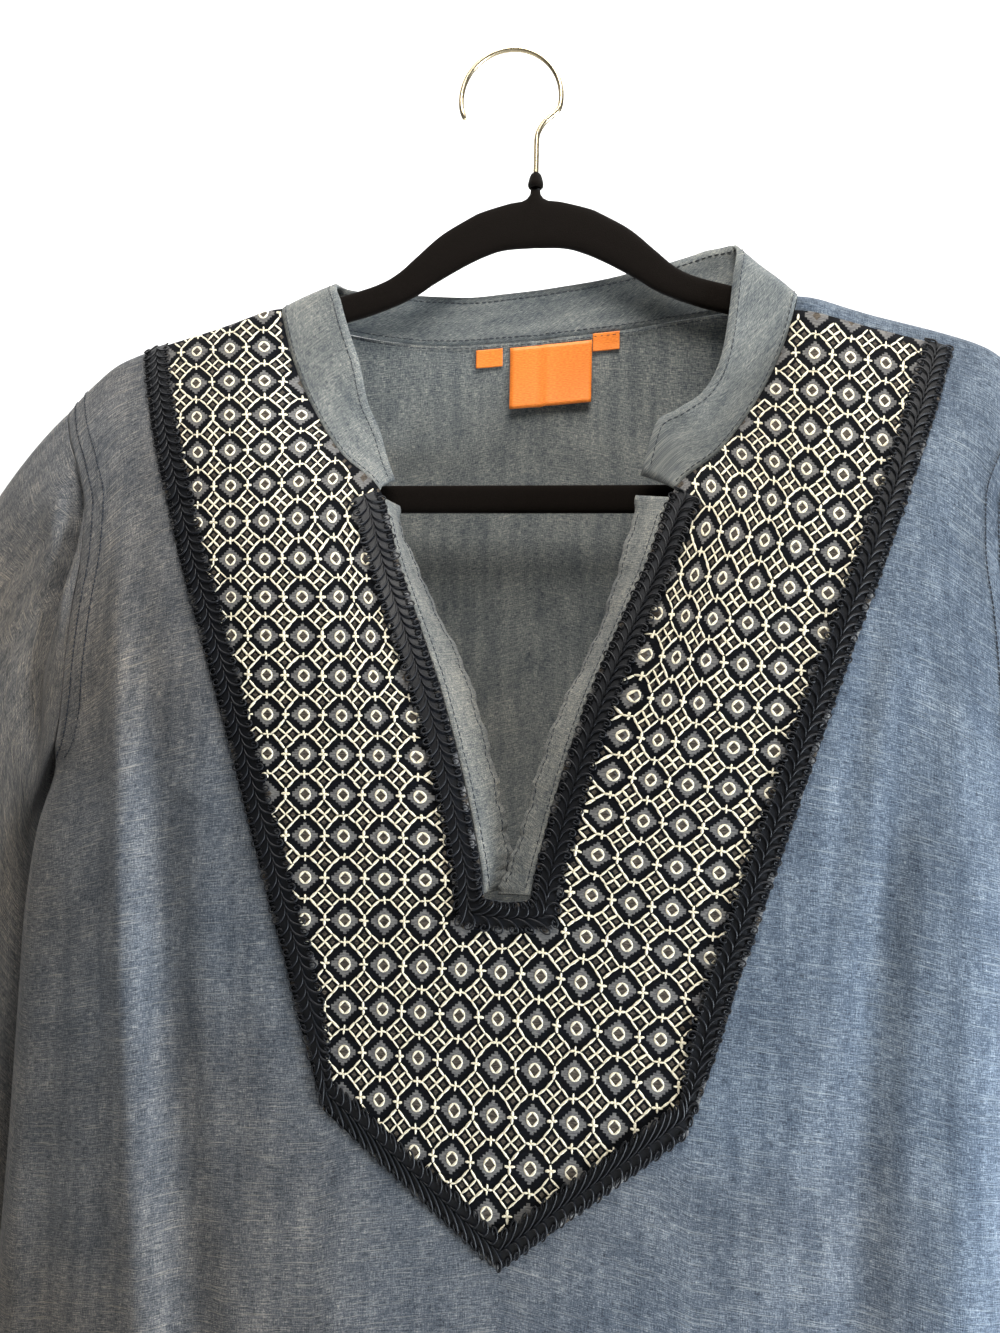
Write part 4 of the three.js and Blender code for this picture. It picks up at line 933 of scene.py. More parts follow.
def braid_frame(kind, pitch):
    """The braid's middle line at even steps, with its half width vector and its normal, by
    length through the sections, and how many scrolls fit."""
    sections = braid_sections(kind)
    points = np.stack([[front_point(v, w, side, LIFT + BRAID_LIFT) for v, w in section]
                       for side, section in sections])
    middle = points[:, 1]
    length = np.concatenate([[0], np.cumsum(np.linalg.norm(np.diff(middle, axis=0), axis=1))])
    loops = max(int(round(length[-1] / pitch)), 1)
    at = np.linspace(0, length[-1], loops * BRAID_STEPS + 1)
    even = np.stack([np.stack([np.interp(at, length, points[:, k, a]) for a in range(3)], -1)
                     for k in range(3)], 1)
    across = (even[:, 0] - even[:, 2]) / 2
    along = unit(np.gradient(even[:, 1], axis=0))
    normal = unit(np.cross(along, across))
    normal *= np.sign(-normal[:, 1:2])
    return even[:, 1], across, normal, loops


BRAID_STEPS, CORD_WAVES = 24, 4  # steps of the frame, and waves of the edge, in a scroll
# One scroll of the gimp: along in scrolls, across in half widths, height and radius in mm.
SCROLL = np.array([
    (-0.45, 0.02, 0.5, 0.3), (-0.15, 0.04, 0.8, 0.4), (0.12, 0.08, 1.0, 0.45),
    (0.36, 0.16, 1.15, 0.46), (0.58, 0.3, 1.3, 0.46), (0.78, 0.5, 1.3, 0.45),
    (0.87, 0.7, 1.2, 0.44), (0.83, 0.88, 1.05, 0.43), (0.68, 0.99, 0.9, 0.42),
    (0.48, 0.98, 0.8, 0.41), (0.33, 0.87, 0.8, 0.4), (0.31, 0.7, 0.85, 0.38),
    (0.43, 0.59, 0.95, 0.36), (0.57, 0.63, 1.0, 0.32), (0.6, 0.76, 0.9, 0.22)])


def on_braid(frame, along, across, height):
    """Places along a braid, in scrolls, half widths and mm above its foot."""
    middle, half, normal, _ = frame
    index = np.clip(along * BRAID_STEPS, 0, len(middle) - 1)
    steps = np.arange(len(middle))
    at = lambda rows: np.stack([np.interp(index, steps, rows[:, k]) for k in range(3)], -1)
    return at(middle) + across[..., None] * at(half) + height[..., None] * at(normal)


def build_braid(kind, material, pitch):
    """Scroll gimp: on a thin tape, one cord curls out of the middle to each side in turn,
    like a fern's fronds, and a finer cord waves four times to a scroll beside its curls."""
    frame = braid_frame(kind, pitch)
    loops, patch = frame[3], Patch()
    w = np.linspace(-0.6, 0.6, 7)
    along = np.arange(0, loops + 0.01, 0.25)
    tape = on_braid(frame, along[:, None] + 0 * w, 0 * along[:, None] + w,
                    0 * along[:, None] + 0.45 * (1 - np.abs(w) ** 4))
    outward = (np.cross(frame[0][1] - frame[0][0], frame[1][0]) * frame[2][0]).sum() > 0
    patch.add(tape, not outward)
    rng = np.random.default_rng(5)
    starts = np.arange(0, loops)
    for side, shift in ((1, 0.0), (-1, 0.5)):
        wobble = rng.normal(0, 0.035, (len(starts), 2))
        p = starts[:, None] + shift + SCROLL[:, 0] + wobble[:, :1]
        q = side * (SCROLL[:, 1] + wobble[:, 1:] * SCROLL[:, 1])
        path = on_braid(frame, p, q, np.broadcast_to(SCROLL[:, 2], p.shape))
        cords = tube(path, np.broadcast_to(SCROLL[:, 3], p.shape), 5)
        add_cords(patch, cords)
        turn = np.linspace(0, 2 * np.pi * CORD_WAVES * loops, 7 * CORD_WAVES * loops + 1)
        p = turn / (2 * np.pi * CORD_WAVES) + 0.05 * np.sin(turn + 1)
        q = side * (0.68 + 0.12 * np.sin(turn) + 0.02 * np.sin(0.37 * turn))
        path = on_braid(frame, p, q, 0.45 + 0.2 * np.cos(turn))
        patch.add(tube(path, np.full(len(path), 0.2), 4))
    return finish_piece(patch.build("gimp_" + kind, 0.002), material, "braid",
                        "braid_" + kind)


def add_cords(patch, cords):
    """Add many cords [cord, point, ring, xyz] with closed ends, facing outwards."""
    caps = np.repeat(cords[:, [0, -1]].mean(2, keepdims=True), cords.shape[2], 2)
    patch.add_many(np.concatenate([caps[:, :1], cords, caps[:, 1:]], 1), True)


LABELS = {
    "main": dict(x=-12, width=39, drop=29, top=-1.5, lift=2.4),
    "size": dict(x=27.4, width=12.6, drop=8.2, top=1.2, lift=0.4),
    "origin": dict(x=-28.4, width=12.8, drop=8.4, top=-1.2, lift=0.4)}
LABEL_SEAM, BACK_REACH, SEWN_IN = -133.8, 241, 2


def build_label(name, material, thickness):
    """Neck label: hangs from the back seam along the back, its free end standing off by
    lift * s^2, and a slow wave across it."""
    size = LABELS[name]
    s, u = spread(0, 1, 16)[:, None], spread(0, 1, 16)[None, :]
    across = size["x"] + size["width"] * u + 0 * s
    z = LABEL_SEAM + size["top"] + BACK_TILT * across - size["drop"] * s
    side = np.where(across < 0, -1, 1)
    depth = back_depth(np.abs(across), z, BACK_REACH, side)
    off = 1.1 + size["lift"] * s * s + 0.25 * np.sin(5 * u + 2 * s) * s
    places = np.stack([CENTRE_X + across, depth - off, z], -1)
    piece = Patch().add(places, False, cloth=cloth_uv(places)).build("neck_label_" + name)
    thicken(piece, thickness, 0)
    return finish_piece(piece, material, "label", "label_" + name)


# ---------------------------------------------------------------- embroidery
# Rows where the opening's braid starts and the outer braid ends, the lattice's pitch
# across and down in mm, scatter of the stitches and rings in pitches, and how high the
# floss stands, in mm.
FIELD_TOP, FIELD_FOOT, PITCH = 6.0, 17.12, np.array([15.9, 17.3])
STITCH_SCATTER, RING_SCATTER, FLOSS_HEIGHT, FLOSS_SINK = 0.009, 0.005, 0.7, 0.08


def on_bib(v, w, side):
    """A row and column of the bib, where a column under 1 below the opening's foot is the
    other half's mirrored column."""
    over = (v > FOOT_ROW) & (w < 1)
    return np.where(over, 2 - w, w), np.where(over, -side, side)


def bib_lattice(v, w, side):
    """The lattice's values at a row and column of the bib."""
    w, side = on_bib(v, w, side)
    x, z = front_plan(np.clip(v, 0, 19), np.clip(w, 0, 3))
    return lattice(side * x, z)


def find_on_bib(i, j, v, w, side):
    """Rows and columns where the lattice has the values (i, j): Newton's method from a
    first guess, with the map's slopes from small differences."""
    for _ in range(7):
        at_i, at_j = bib_lattice(v, w, side)
        di_v, dj_v = (b - a for a, b in zip((at_i, at_j), bib_lattice(v + 0.02, w, side)))
        di_w, dj_w = (b - a for a, b in zip((at_i, at_j), bib_lattice(v, w + 0.01, side)))
        det = di_v * dj_w - di_w * dj_v
        det = np.where(np.abs(det) < 1e-9, 1e-9, det)
        miss_i, miss_j = i - at_i, j - at_j
        v = v + np.clip(0.02 * (miss_i * dj_w - miss_j * di_w) / det, -1, 1)
        w = w + np.clip(0.01 * (miss_j * di_v - miss_i * dj_v) / det, -0.4, 0.4)
        v, w = np.clip(v, 0, 19), np.clip(w, 0, 3)
    at_i, at_j = bib_lattice(v, w, side)
    return v, w, np.hypot(at_i - i, at_j - j)


def motif_strokes():
    """Cream strokes of one cell: start and end from the cell's ring, in pitches across and
    down, and half width in mm. A window hangs half a pitch over and under each ring, with
    two strokes to a side and a cross of four, and stars of four petals stand between."""
    strokes = []
    for a, b in ((1, 1), (1, -1), (-1, 1), (-1, -1)):
        tip, low = (0.5 + 0.37 * a, 0.5 + 0.012 * b), (0.5 + 0.03 * a, 0.5 + 0.345 * b)
        near_tip = (0.5 + 0.19 * a, 0.5 + 0.178 * b)
        near_low = (0.5 + 0.205 * a, 0.5 + 0.165 * b)
        strokes += [(*tip, *near_tip, 0.56), (*near_low, *low, 0.56),
                    (0.5, 0.5, 0.5 + 0.18 * a, 0.5 + 0.165 * b, 0.54)]
    for x, y, long, short, half in ((0.5, 0, (0, 0.145), (0.12, 0), 0.62),
                                    (0, 0.5, (0.135, 0), (0, 0.105), 0.5)):
        for sign in (-1, 1):
            strokes += [(x, y, x + long[0] * sign, y + long[1] * sign, half),
                        (x, y, x + short[0] * sign, y + short[1] * sign, half)]
    return np.array(strokes)


def in_field(v, w):
    """True between the braids, and up to the collar's seam above the opening's braid."""
    inner = np.where(v < FIELD_TOP, 0.06, np.where(v < FOOT_ROW, 0.97, -9))
    return (w > inner) & (w < 2.1) & (v < FIELD_FOOT) & ((v <= FOOT_ROW) | (w >= 1))


def stroke_grids(cells, side, guess, rng):
    """Raised lozenges, widest at their middle: the strokes of every cell."""
    strokes = motif_strokes()
    start = cells[:, None] + strokes[None, :, 0:2]
    end = cells[:, None] + strokes[None, :, 2:4]
    half = np.broadcast_to(strokes[:, 4], start.shape[:2])
    start, end, half = (a.reshape(-1, *a.shape[2:]) for a in (start, end, half))
    start = start + rng.normal(0, STITCH_SCATTER, start.shape)
    end = end + rng.normal(0, STITCH_SCATTER, end.shape)
    half = half * rng.uniform(0.8, 1.15, half.shape)
    v, w, ok = settle((start + end) / 2, side, guess, 0.12)
    start, end, half = (a[ok] for a in (start, end, half))
    t, q = np.array([0, 0.22, 0.5, 0.78, 1]), np.array([-1, 0, 1.0])
    body = np.sin(np.pi * np.clip(t, 0.12, 0.88)) ** 0.5
    along = end - start
    flat = along * PITCH
    off = np.stack([-flat[:, 1], flat[:, 0]], -1)
    off = off / np.linalg.norm(off, axis=-1, keepdims=True) / PITCH
    at = (start[:, None, None] + along[:, None, None] * t[:, None, None]
          + off[:, None, None] * (half[:, None] * body)[:, :, None, None] * q[:, None])
    return lay(at, (FLOSS_HEIGHT * body[:, None] * (1 - q ** 2) - FLOSS_SINK)[None], v, w,
               side)


def ring_grids(cells, side, guess, rng):
    """Rings of eight short satin facets, thick on the diagonals, round every cell's ring."""
    v, w, ok = settle(cells.astype(float), side, guess, 0.15)
    turn = np.linspace(0, 2 * np.pi, 17)
    c, s = np.cos(turn), np.sin(turn)
    outer, inner = 0.16 + 0 * turn, 0.128 / (np.abs(c) + np.abs(s))
    radius = np.stack([outer, (outer + inner) / 2, inner], -1)
    ring = np.stack([radius * c[:, None], radius * s[:, None]], -1)
    groove = 1 - 0.6 * np.abs(np.cos(2 * turn)) ** 6
    at = cells[ok][:, None, None] + ring[None]
    at = at + rng.normal(0, RING_SCATTER, (len(at), 1, 1, 2))
    return lay(at, (np.stack([0 * turn, 0.5 * groove, 0 * turn], -1) - 0.06)[None], v, w,
               side)


def settle(targets, side, guess, below):
    """Rows and columns of the lattice targets that fall on this half of the field, and
    which of the targets do: those at least below rows under the bib's top."""
    gv, gw, gi, gj = guess
    near, far = nearest(targets, gi, gj)
    v, w, miss = find_on_bib(*targets.T, gv[near], gw[near], side)
    ok = (far < 0.35) & (miss < 0.02) & in_field(v, w) & (v > BIB_TOP[side] + below)
    return v[ok], w[ok], ok


def build_embroidery(material):
    """Cream thread: strokes and rings laid on the bib where its lattice says, cell by
    cell, with each one's ends a little off."""
    rng = np.random.default_rng(11)
    patch = Patch()
    for side in (-1, 1):
        grid_v, grid_w = np.meshgrid(np.linspace(BIB_TOP[side], 17.3, 120),
                                     np.linspace(0, 2.1, 60), indexing="ij")
        live = (grid_v < FOOT_ROW) | (grid_w > 1)
        gv, gw = grid_v[live], grid_w[live]
        gi, gj = bib_lattice(gv, gw, side)
        cells = np.stack(np.meshgrid(*(np.arange(math.floor(g.min()) - 1,
                                                 math.ceil(g.max()) + 1) for g in (gi, gj))),
                         -1).reshape(-1, 2)
        for grids in (stroke_grids, ring_grids):
            patch.add_many(grids(cells, side, (gv, gw, gi, gj), rng))
    return finish_piece(patch.build("floss_stitches", 0.005), material,
                        "embroidered_cloth")


def nearest(targets, gi, gj):
    """Index of and distance to the nearest of the places (gi, gj), for each target."""
    found, far = np.zeros(len(targets), int), np.zeros(len(targets))
    for low in range(0, len(targets), 500):
        part = targets[low:low + 500]
        distance = (part[:, :1] - gi) ** 2 + (part[:, 1:] - gj) ** 2
        found[low:low + 500] = distance.argmin(1)
        far[low:low + 500] = np.sqrt(distance.min(1))
    return found, far


def lay(at, lift, v0, w0, side):
    """Places on the bib of the lattice coordinates at, lift mm above its face, for the
    grids whose every corner is found."""
    shape = at.shape[:-1]
    v = np.broadcast_to(v0[:, None, None], shape).ravel()
    w = np.broadcast_to(w0[:, None, None], shape).ravel()
    v, w, miss = find_on_bib(at[..., 0].ravel(), at[..., 1].ravel(), v, w, side)
    w, sides = on_bib(v, w, side)
    height = LIFT + np.broadcast_to(lift, shape).ravel()
    places = np.where((sides < 0)[:, None], front_point(v, w, -1, height),
                      front_point(v, w, 1, height))
    good = (miss.reshape(shape) < 0.03).all((1, 2))
    return places.reshape(*shape, 3)[good]


# ---------------------------------------------------------------- sewing
def sew(path, normal, stitch, gap, radius):
    """Stitches along a line [point, xyz]: each a short cord that rises out of the cloth
    and dips back in, from one even length along the line to the next."""
    length = np.concatenate([[0], np.cumsum(np.linalg.norm(np.diff(path, axis=0), axis=1))])
    starts = np.arange(0, length[-1] - stitch, stitch + gap)
    at = starts[:, None] + stitch * np.array([0, 0.2, 0.5, 0.8, 1])
    pick = lambda rows: np.stack([np.interp(at, length, rows[:, k]) for k in range(3)], -1)
    rise = np.array([-0.15, 0.1, 0.2, 0.1, -0.15])
    points = pick(path) + rise[:, None] * unit(pick(normal))
    return tube(points, np.full(points.shape[:2], radius), 5)


def surface_normal(function, a, b, step=0.01, outward=(0, -1, 0)):
    """Unit normals of a surface function of two numbers, turned to the outward side."""
    one = function(a + step, b) - function(a - step, b)
    two = function(a, b + step) - function(a, b - step)
    normal = unit(np.cross(one, two))
    return normal * np.sign((normal * np.array(outward)).sum(-1, keepdims=True) + 1e-9)


def armhole_lines():
    """Two rows of topstitching, 5 and 11 mm inside each armhole, front and back."""
    lines = []
    for side in (-1, 1):
        for inset in (5.0, 11.0):
            v = np.linspace(0.2, 9.7, 400)
            width = np.linalg.norm(front_point(v, 4.0, side) - front_point(v, 3.0, side), axis=-1)
            w = 4 - inset / width
            lines.append((front_point(v, w, side, 0.1), front_normal(v, w, side)))
            width = np.linalg.norm(back_point(v, 1.0, side) - back_point(v, 0.0, side), axis=-1)
            w = 1 - inset / width
            normal = surface_normal(lambda a, b: back_point(a, b, side), v, w, 0.01, (0, 1, 0))
            lines.append((back_point(v, w, side) + 0.1 * normal, normal))
    return lines


def collar_lines():
    """Edge stitching 3 mm from the collar's free edge and a row near its neck seam, on its
    outer and inner face."""
    lines = []
    t = np.linspace(-10.9, 10.9, 900)
    width = np.linalg.norm(collar_point(t, 1.0) - collar_point(t, 0.0), axis=-1)
    for w in (1 - 3 / width, 2.2 / width):
        place, out = collar_point(t, w), collar_point(t, w) - [CENTRE_X, -40, 0]
        normal = surface_normal(collar_point, t, w, 0.01)
        normal *= np.sign((normal * out)[..., :2].sum(-1, keepdims=True))
        for face in (-1, 1):
            lines.append((place + face * 0.78 * normal, face * normal))
    return lines


def strip_lines():
    """A row along each edge of each binding strip."""
    lines = []
    for side in (-1, 1):
        v = np.linspace(6.4, 12.5, 400)
        for w in (0.16, 0.84):
            function = lambda a, b: strip_point(a, b, side)
            normal = surface_normal(function, v, np.full_like(v, w))
            lines.append((strip_point(v, w, side) + 0.5 * normal, normal))
    return lines


def hem_lines():
    """One row round the hem of each panel and round each cuff."""
    lines = []
    for side in (-1, 1):
        w = np.linspace(1.0, 4, 300)
        v = np.full_like(w, 23.75)
        lines.append((front_point(v, w, side, 0.1), front_normal(v, w, side)))
        w = np.linspace(0, 1, 300)
        v = np.full_like(w, 16.75)
        normal = surface_normal(lambda a, b: back_point(a, b, side), v, w, 0.01, (0, 1, 0))
        lines.append((back_point(v, w, side) + 0.1 * normal, normal))
        angle, t = np.linspace(0, 360, 300), np.full(300, 0.965)
        place = sleeve_point(angle, t, side)
        out = unit(place - place.mean(0))
        lines.append((place + 0.12 * out, out))
    return lines


def neck_lines():
    """Facing stitches just under the back neck seam, seen inside the neck."""
    lines = []
    for side in (-1, 1):
        v = np.linspace(0.3, 5, 200)
        place = back_point(v, 0.0, side) + [0, 0, -1.6]
        normal = np.broadcast_to([0.0, -1.0, 0.0], place.shape)
        lines.append((place + normal * 0.75, normal))
    return lines


def build_stitches(name, lines, material, stitch, gap, radius):
    """Topstitching: the stitches that sew lays along each line, as one piece."""
    patch = Patch()
    for path, normal in lines:
        add_cords(patch, sew(path, normal, stitch, gap, radius))
    return finish_piece(patch.build(name, 0.002), material, "chambray")


# ---------------------------------------------------------------- hanger
HOOK_CENTRE, HOOK_RADIUS, HALF_ARM = (0.0, -22.3), 23.6, 2.7
ARM_TOP = [
    (2.2, -66), (2.6, -69), (5.5, -71.6), (12, -72.6), (25, -76.2), (31, -79), (44, -86.6),
    (56, -97), (64, -104), (73, -109), (88, -113.6), (119, -121.6), (150, -130.7),
    (186, -141.4), (198, -146.6), (204.6, -152), (207.6, -159), (207, -168), (202.5, -180),
    (195, -194), (187, -205), (179, -212), (168, -217), (150, -218), (75, -218), (0, -218)]
GAP_LINE = [
    (0, -93.8), (14, -94.4), (24, -97.4), (35, -102.6), (48, -110), (55, -114.6),
    (65, -119.4), (78, -124), (90, -127.4), (119, -136.8), (150, -146.5), (186, -158),
    (192, -160.5), (194.5, -167), (191.5, -176), (184, -190), (175, -200), (166, -204.2),
    (148, -205), (75, -205), (0, -205)]


def rounded(line, count):
    """Even places by length on Catmull-Rom curves through a line's points."""
    points = np.array(line, float)
    ends = np.vstack([2 * points[0] - points[1], points, 2 * points[-1] - points[-2]])
    s = np.linspace(0, 1, 12, endpoint=False)[:, None]
    pieces = []
    for a, b, c, d in zip(ends, ends[1:], ends[2:], ends[3:]):
        pieces.append(0.5 * (2 * b + (c - a) * s + (2 * a - 5 * b + 4 * c - d) * s ** 2
                             + (3 * b - a - 3 * c + d) * s ** 3))
    fine = np.vstack(pieces + [points[-1:]])
    length = np.concatenate([[0], np.cumsum(np.linalg.norm(np.diff(fine, axis=0), axis=1))])
    at = np.linspace(0, length[-1], count)
    return np.stack([np.interp(at, length, fine[:, k]) for k in range(2)], -1)


def mirrored(line):
    """The line and its mirror image, as a loop that starts and ends low at the centre."""
    return np.vstack([line[::-1] * [-1, 1], line])


def build_hanger(material):
    """Hanger: a band between its outer and inner outline, with superellipse edges: from
    outline to outline the half thickness is 2.7 * (1 - |q|^3)^(1/3)."""
    outer = mirrored(rounded(ARM_TOP, 190))
    inner = mirrored(rounded(GAP_LINE, 190))
    q = np.sin(np.linspace(-np.pi / 2, np.pi / 2, 17))
    front = mix(outer[:, None], inner[:, None], ((q + 1) / 2)[None, :, None])
    half = HALF_ARM * (1 - np.abs(q) ** 3) ** (1 / 3)
    places = []
    for sign in (-1, 1):
        places.append(np.stack([front[..., 0] + CENTRE_X,
                                np.broadcast_to(sign * half, front.shape[:2]),
                                front[..., 1]], -1))
    piece = Patch().add(places[0], True).add(places[1]).build("velvet_hanger")
    return finish_piece(piece, material, "velvet", "hanger")


def build_ferrule(material):
    """Ferrule: a turned collar, its radius a table's curve along its height."""
    height = np.array([0, 0.2, 1.0, 2.0, 3.4, 5.0, 6.2, 6.9, 7.2])
    radius = np.array([2.6, 3.2, 3.6, 3.7, 3.4, 3.0, 2.5, 2.0, 1.5])
    rows = np.linspace(0, 7.2, 20)
    size = np.interp(rows, height, radius)
    angle = spread(0, 2 * np.pi, 32)
    places = np.stack([CENTRE_X + size[:, None] * np.cos(angle), size[:, None] * np.sin(angle),
                       np.broadcast_to(-65.7 + rows[:, None], (20, 33))], -1)
    piece = Patch().add(places, True).build("ferrule_turned")
    return finish_piece(piece, material, "velvet", "hook_ferrule")


def build_hook(material, wire):
    """Hook: one wire along its stem, a short neck bend and an arc about the hook's
    centre, then a ball-rounded end."""
    stem = [(CENTRE_X, -58.2), (CENTRE_X, -50), (CENTRE_X, -45), (CENTRE_X + 0.5, -39.5),
            (CENTRE_X + 3.6, -34.2), (CENTRE_X + 8.2, -30.4)]
    turn = np.radians(np.arange(-12, 207, 18))
    arc = [(HOOK_CENTRE[0] + HOOK_RADIUS * math.cos(a),
            HOOK_CENTRE[1] + HOOK_RADIUS * math.sin(a)) for a in turn]
    line = rounded(stem + arc, 160)
    path = np.stack([line[:, 0], np.zeros(len(line)), line[:, 1]], -1)
    radius = np.full(len(line), wire / 2)
    left = np.linspace(0, 1, 6)
    radius[-6:] *= np.sqrt(np.maximum(1 - left ** 2, 0.0))
    places = tube(path, radius, 16)
    piece = Patch().add(places).build("wire_hook")
    return finish_piece(piece, material, "hook_wire", "hook")


# ---------------------------------------------------------------- stage
CAMERA_PLACE, CAMERA_LENS = (61.0, -485.5, -304.3), 28.65
CAMERA_AZIMUTH, CAMERA_RISE, CAMERA_ROLL = 7.1, 1.79, 1.22


def add_camera():
    """Camera from its place, turn, rise and roll: its axes as columns of its matrix."""
    a, e, roll = (math.radians(x) for x in (CAMERA_AZIMUTH, -CAMERA_RISE, CAMERA_ROLL))
    ahead = np.array([-math.sin(a) * math.cos(e), math.cos(a) * math.cos(e), -math.sin(e)])
    right = np.array([math.cos(a), math.sin(a), 0])
    up = np.cross(right, ahead)
    turned = math.cos(roll) * right + math.sin(roll) * up
    upright = -math.sin(roll) * right + math.cos(roll) * up
    data = bpy.data.cameras.new("Camera")
    data.sensor_fit, data.sensor_width, data.lens = "AUTO", 36, CAMERA_LENS
    camera = bpy.data.objects.new("Camera", data)
    bpy.context.collection.objects.link(camera)
    matrix = np.eye(4)
    matrix[:3, 0], matrix[:3, 1], matrix[:3, 2] = turned, upright, -ahead
    matrix[:3, 3] = np.array(CAMERA_PLACE) * MM
    camera.matrix_world = Matrix(matrix.tolist())
    bpy.context.scene.camera = camera


def build_backdrop(material, floor):
    """Floor and wall in one sweep: flat, a quarter round of 0.5 m, then upright."""
    turn = np.linspace(0, np.pi / 2, 16)
    y = np.concatenate([[-3.2], 1.1 + 0.5 * np.sin(turn), [1.6]])
    z = np.concatenate([[floor], floor + 0.5 - 0.5 * np.cos(turn), [2.6]])
    x = np.array([-4.0, 4.0])
    places = np.stack(np.broadcast_arrays(x[None, :], y[:, None], z[:, None]), -1) / MM
    piece = Patch().add(places, True).build("studio_sweep")
    piece.data.materials.append(material)


# Lights: place and aim in metres, and the side of the square.
LIGHTS = (("key", (1.05, -0.36, -0.9), (0.28, 0, -0.6), 0.5),
          ("top", (0.1, -0.45, 0.5), (0, 0, -0.15), 0.5),
          ("wall", (-0.3, 0.7, 1.0), (-0.4, 1.6, 0), 2.0))


def add_light(name, place, aim, size, power, colour):
    """A square area light that faces its aim."""
    data = bpy.data.lights.new(name, "AREA")
    data.shape, data.size, data.energy, data.color = "SQUARE", size, power, colour
    light = bpy.data.objects.new(name, data)
    bpy.context.collection.objects.link(light)
    light.location = place
    away = np.array(place, float) - np.array(aim, float)
    light.rotation_euler = (math.atan2(math.hypot(away[0], away[1]), away[2]), 0,
                            math.atan2(away[1], away[0]) + math.pi / 2)


# ---------------------------------------------------------------- settings
def size_property(name, value, description, **limits):
    """A length property, in metres."""
    return FloatProperty(name=name, description=description, default=value,
                         subtype="DISTANCE", unit="LENGTH", precision=5, **limits)


def colour_property(name, hex_colour, description):
    """A colour property whose default is an sRGB hex value."""
    return FloatVectorProperty(name=name, description=description, size=4, min=0, max=1,
                               default=linear(hex_colour), subtype="COLOR")


class TunicSizes(bpy.types.PropertyGroup):
    """Sizes of the cloth, the braid and the sewing."""
    cloth: size_property("Cloth", 0.0005, "Thickness of the panels", min=0.0001)
    collar: size_property("Collar", 0.0015, "Thickness of the stand collar", min=0.0001)
    strip: size_property("Strips", 0.0009, "Thickness of the binding strips", min=0.0001)
    label: size_property("Labels", 0.00045, "Thickness of the neck labels", min=0.0001)
    braid_pitch: size_property("Braid Pitch", 0.0047, "Length of one scroll of the gimp",
                               min=0.002, max=0.01)
    stitch: size_property("Stitch", 0.002, "Length of a topstitch", min=0.0005)
    gap: size_property("Gap", 0.001, "Gap between topstitches", min=0.0002)
    thread: size_property("Thread", 0.0002, "Radius of the sewing thread", min=0.00005)
    armhole_stitch: size_property("Armhole Stitch", 0.0013, "Length of a stitch at the armhole",
                                  min=0.0005)
    armhole_gap: size_property("Armhole Gap", 0.0008, "Gap between the armhole's stitches",
                               min=0.0002)
    armhole_thread: size_property("Armhole Thread", 0.00028,
                                  "Radius of the armhole's thread, coarse to show",
                                  min=0.00005)
    wire: size_property("Wire", 0.0026, "Thickness of the hook's wire", min=0.0005)


class TunicColours(bpy.types.PropertyGroup):
    """Colours of the cloths, threads and fittings."""
    cloth_dark: colour_property("Cloth Dark", "#2e3238", "Hollows of the chambray's weave")
    cloth_mid: colour_property("Cloth Mid", "#5b6168", "The chambray's blue warp")
    cloth_light: colour_property("Cloth Light", "#7f8489", "The chambray's pale weft")
    cloth_fleck: colour_property("Cloth Fleck", "#c4c1b6", "Slubs in the chambray")
    cloth_warm: colour_property("Cloth Warm Side", "#f6e4d2", "Tint that stands for warm light")
    cloth_cool: colour_property("Cloth Cool Side", "#e2eefc", "Tint that stands for cool light")
    # Painted light: the next six colours are a lighter, greyer copy of the cloth's, toned for the
    # light inside the neck; the back, collar and strips are the same chambray.
    facing_dark: colour_property("Facing Dark", "#3e4248", "Weave's hollows on back and collar")
    facing_mid: colour_property("Facing Mid", "#6e7274", "Warp of back, collar and strips")
    facing_light: colour_property("Facing Light", "#8d8f8b", "Weft of back, collar and strips")
    facing_fleck: colour_property("Facing Fleck", "#c6c3b6", "Slubs of back, collar and strips")
    facing_warm: colour_property("Facing Warm Side", "#fbefe0", "Tint that stands for warm light")
    facing_cool: colour_property("Facing Cool Side", "#f1f2f1", "Tint that stands for plain light")
    grey_dark: colour_property("Grey Dark", "#4f4e50", "Grey lozenges between their threads")
    grey: colour_property("Grey", "#73726f", "Grey lozenges of the bib")
    navy: colour_property("Navy", "#030406", "The bib's ground")
    navy_light: colour_property("Navy Light", "#0b0e15", "The bib's ground on its ridges")
    brown: colour_property("Brown", "#2c2824", "Panes of the windows and rings")
    brown_light: colour_property("Brown Light", "#615950", "Panes where light catches them")
    gimp: colour_property("Gimp", "#010204", "The braid between its plies")
    gimp_light: colour_property("Gimp Light", "#060a14", "The braid on its plies")
    floss: colour_property("Floss", "#d3c7a5", "Cream floss between its plies")
    floss_light: colour_property("Floss Light", "#faf4e2", "Cream floss on its plies")
    sewing: colour_property("Sewing", "#12161d", "Sewing thread between its plies")
    sewing_light: colour_property("Sewing Light", "#333a45", "Sewing thread on its plies")
    label_dark: colour_property("Label Dark", "#dc6f14", "The labels between their ribs")
    label: colour_property("Label", "#f58a2c", "The labels' orange")
    velvet: colour_property("Velvet", "#0d0a08", "The hanger's flock face on")
    velvet_bloom: colour_property("Velvet Bloom", "#15110e", "The flock where light rakes it")
    wire: colour_property("Wire", "#b8aa8e", "The hook's plating")


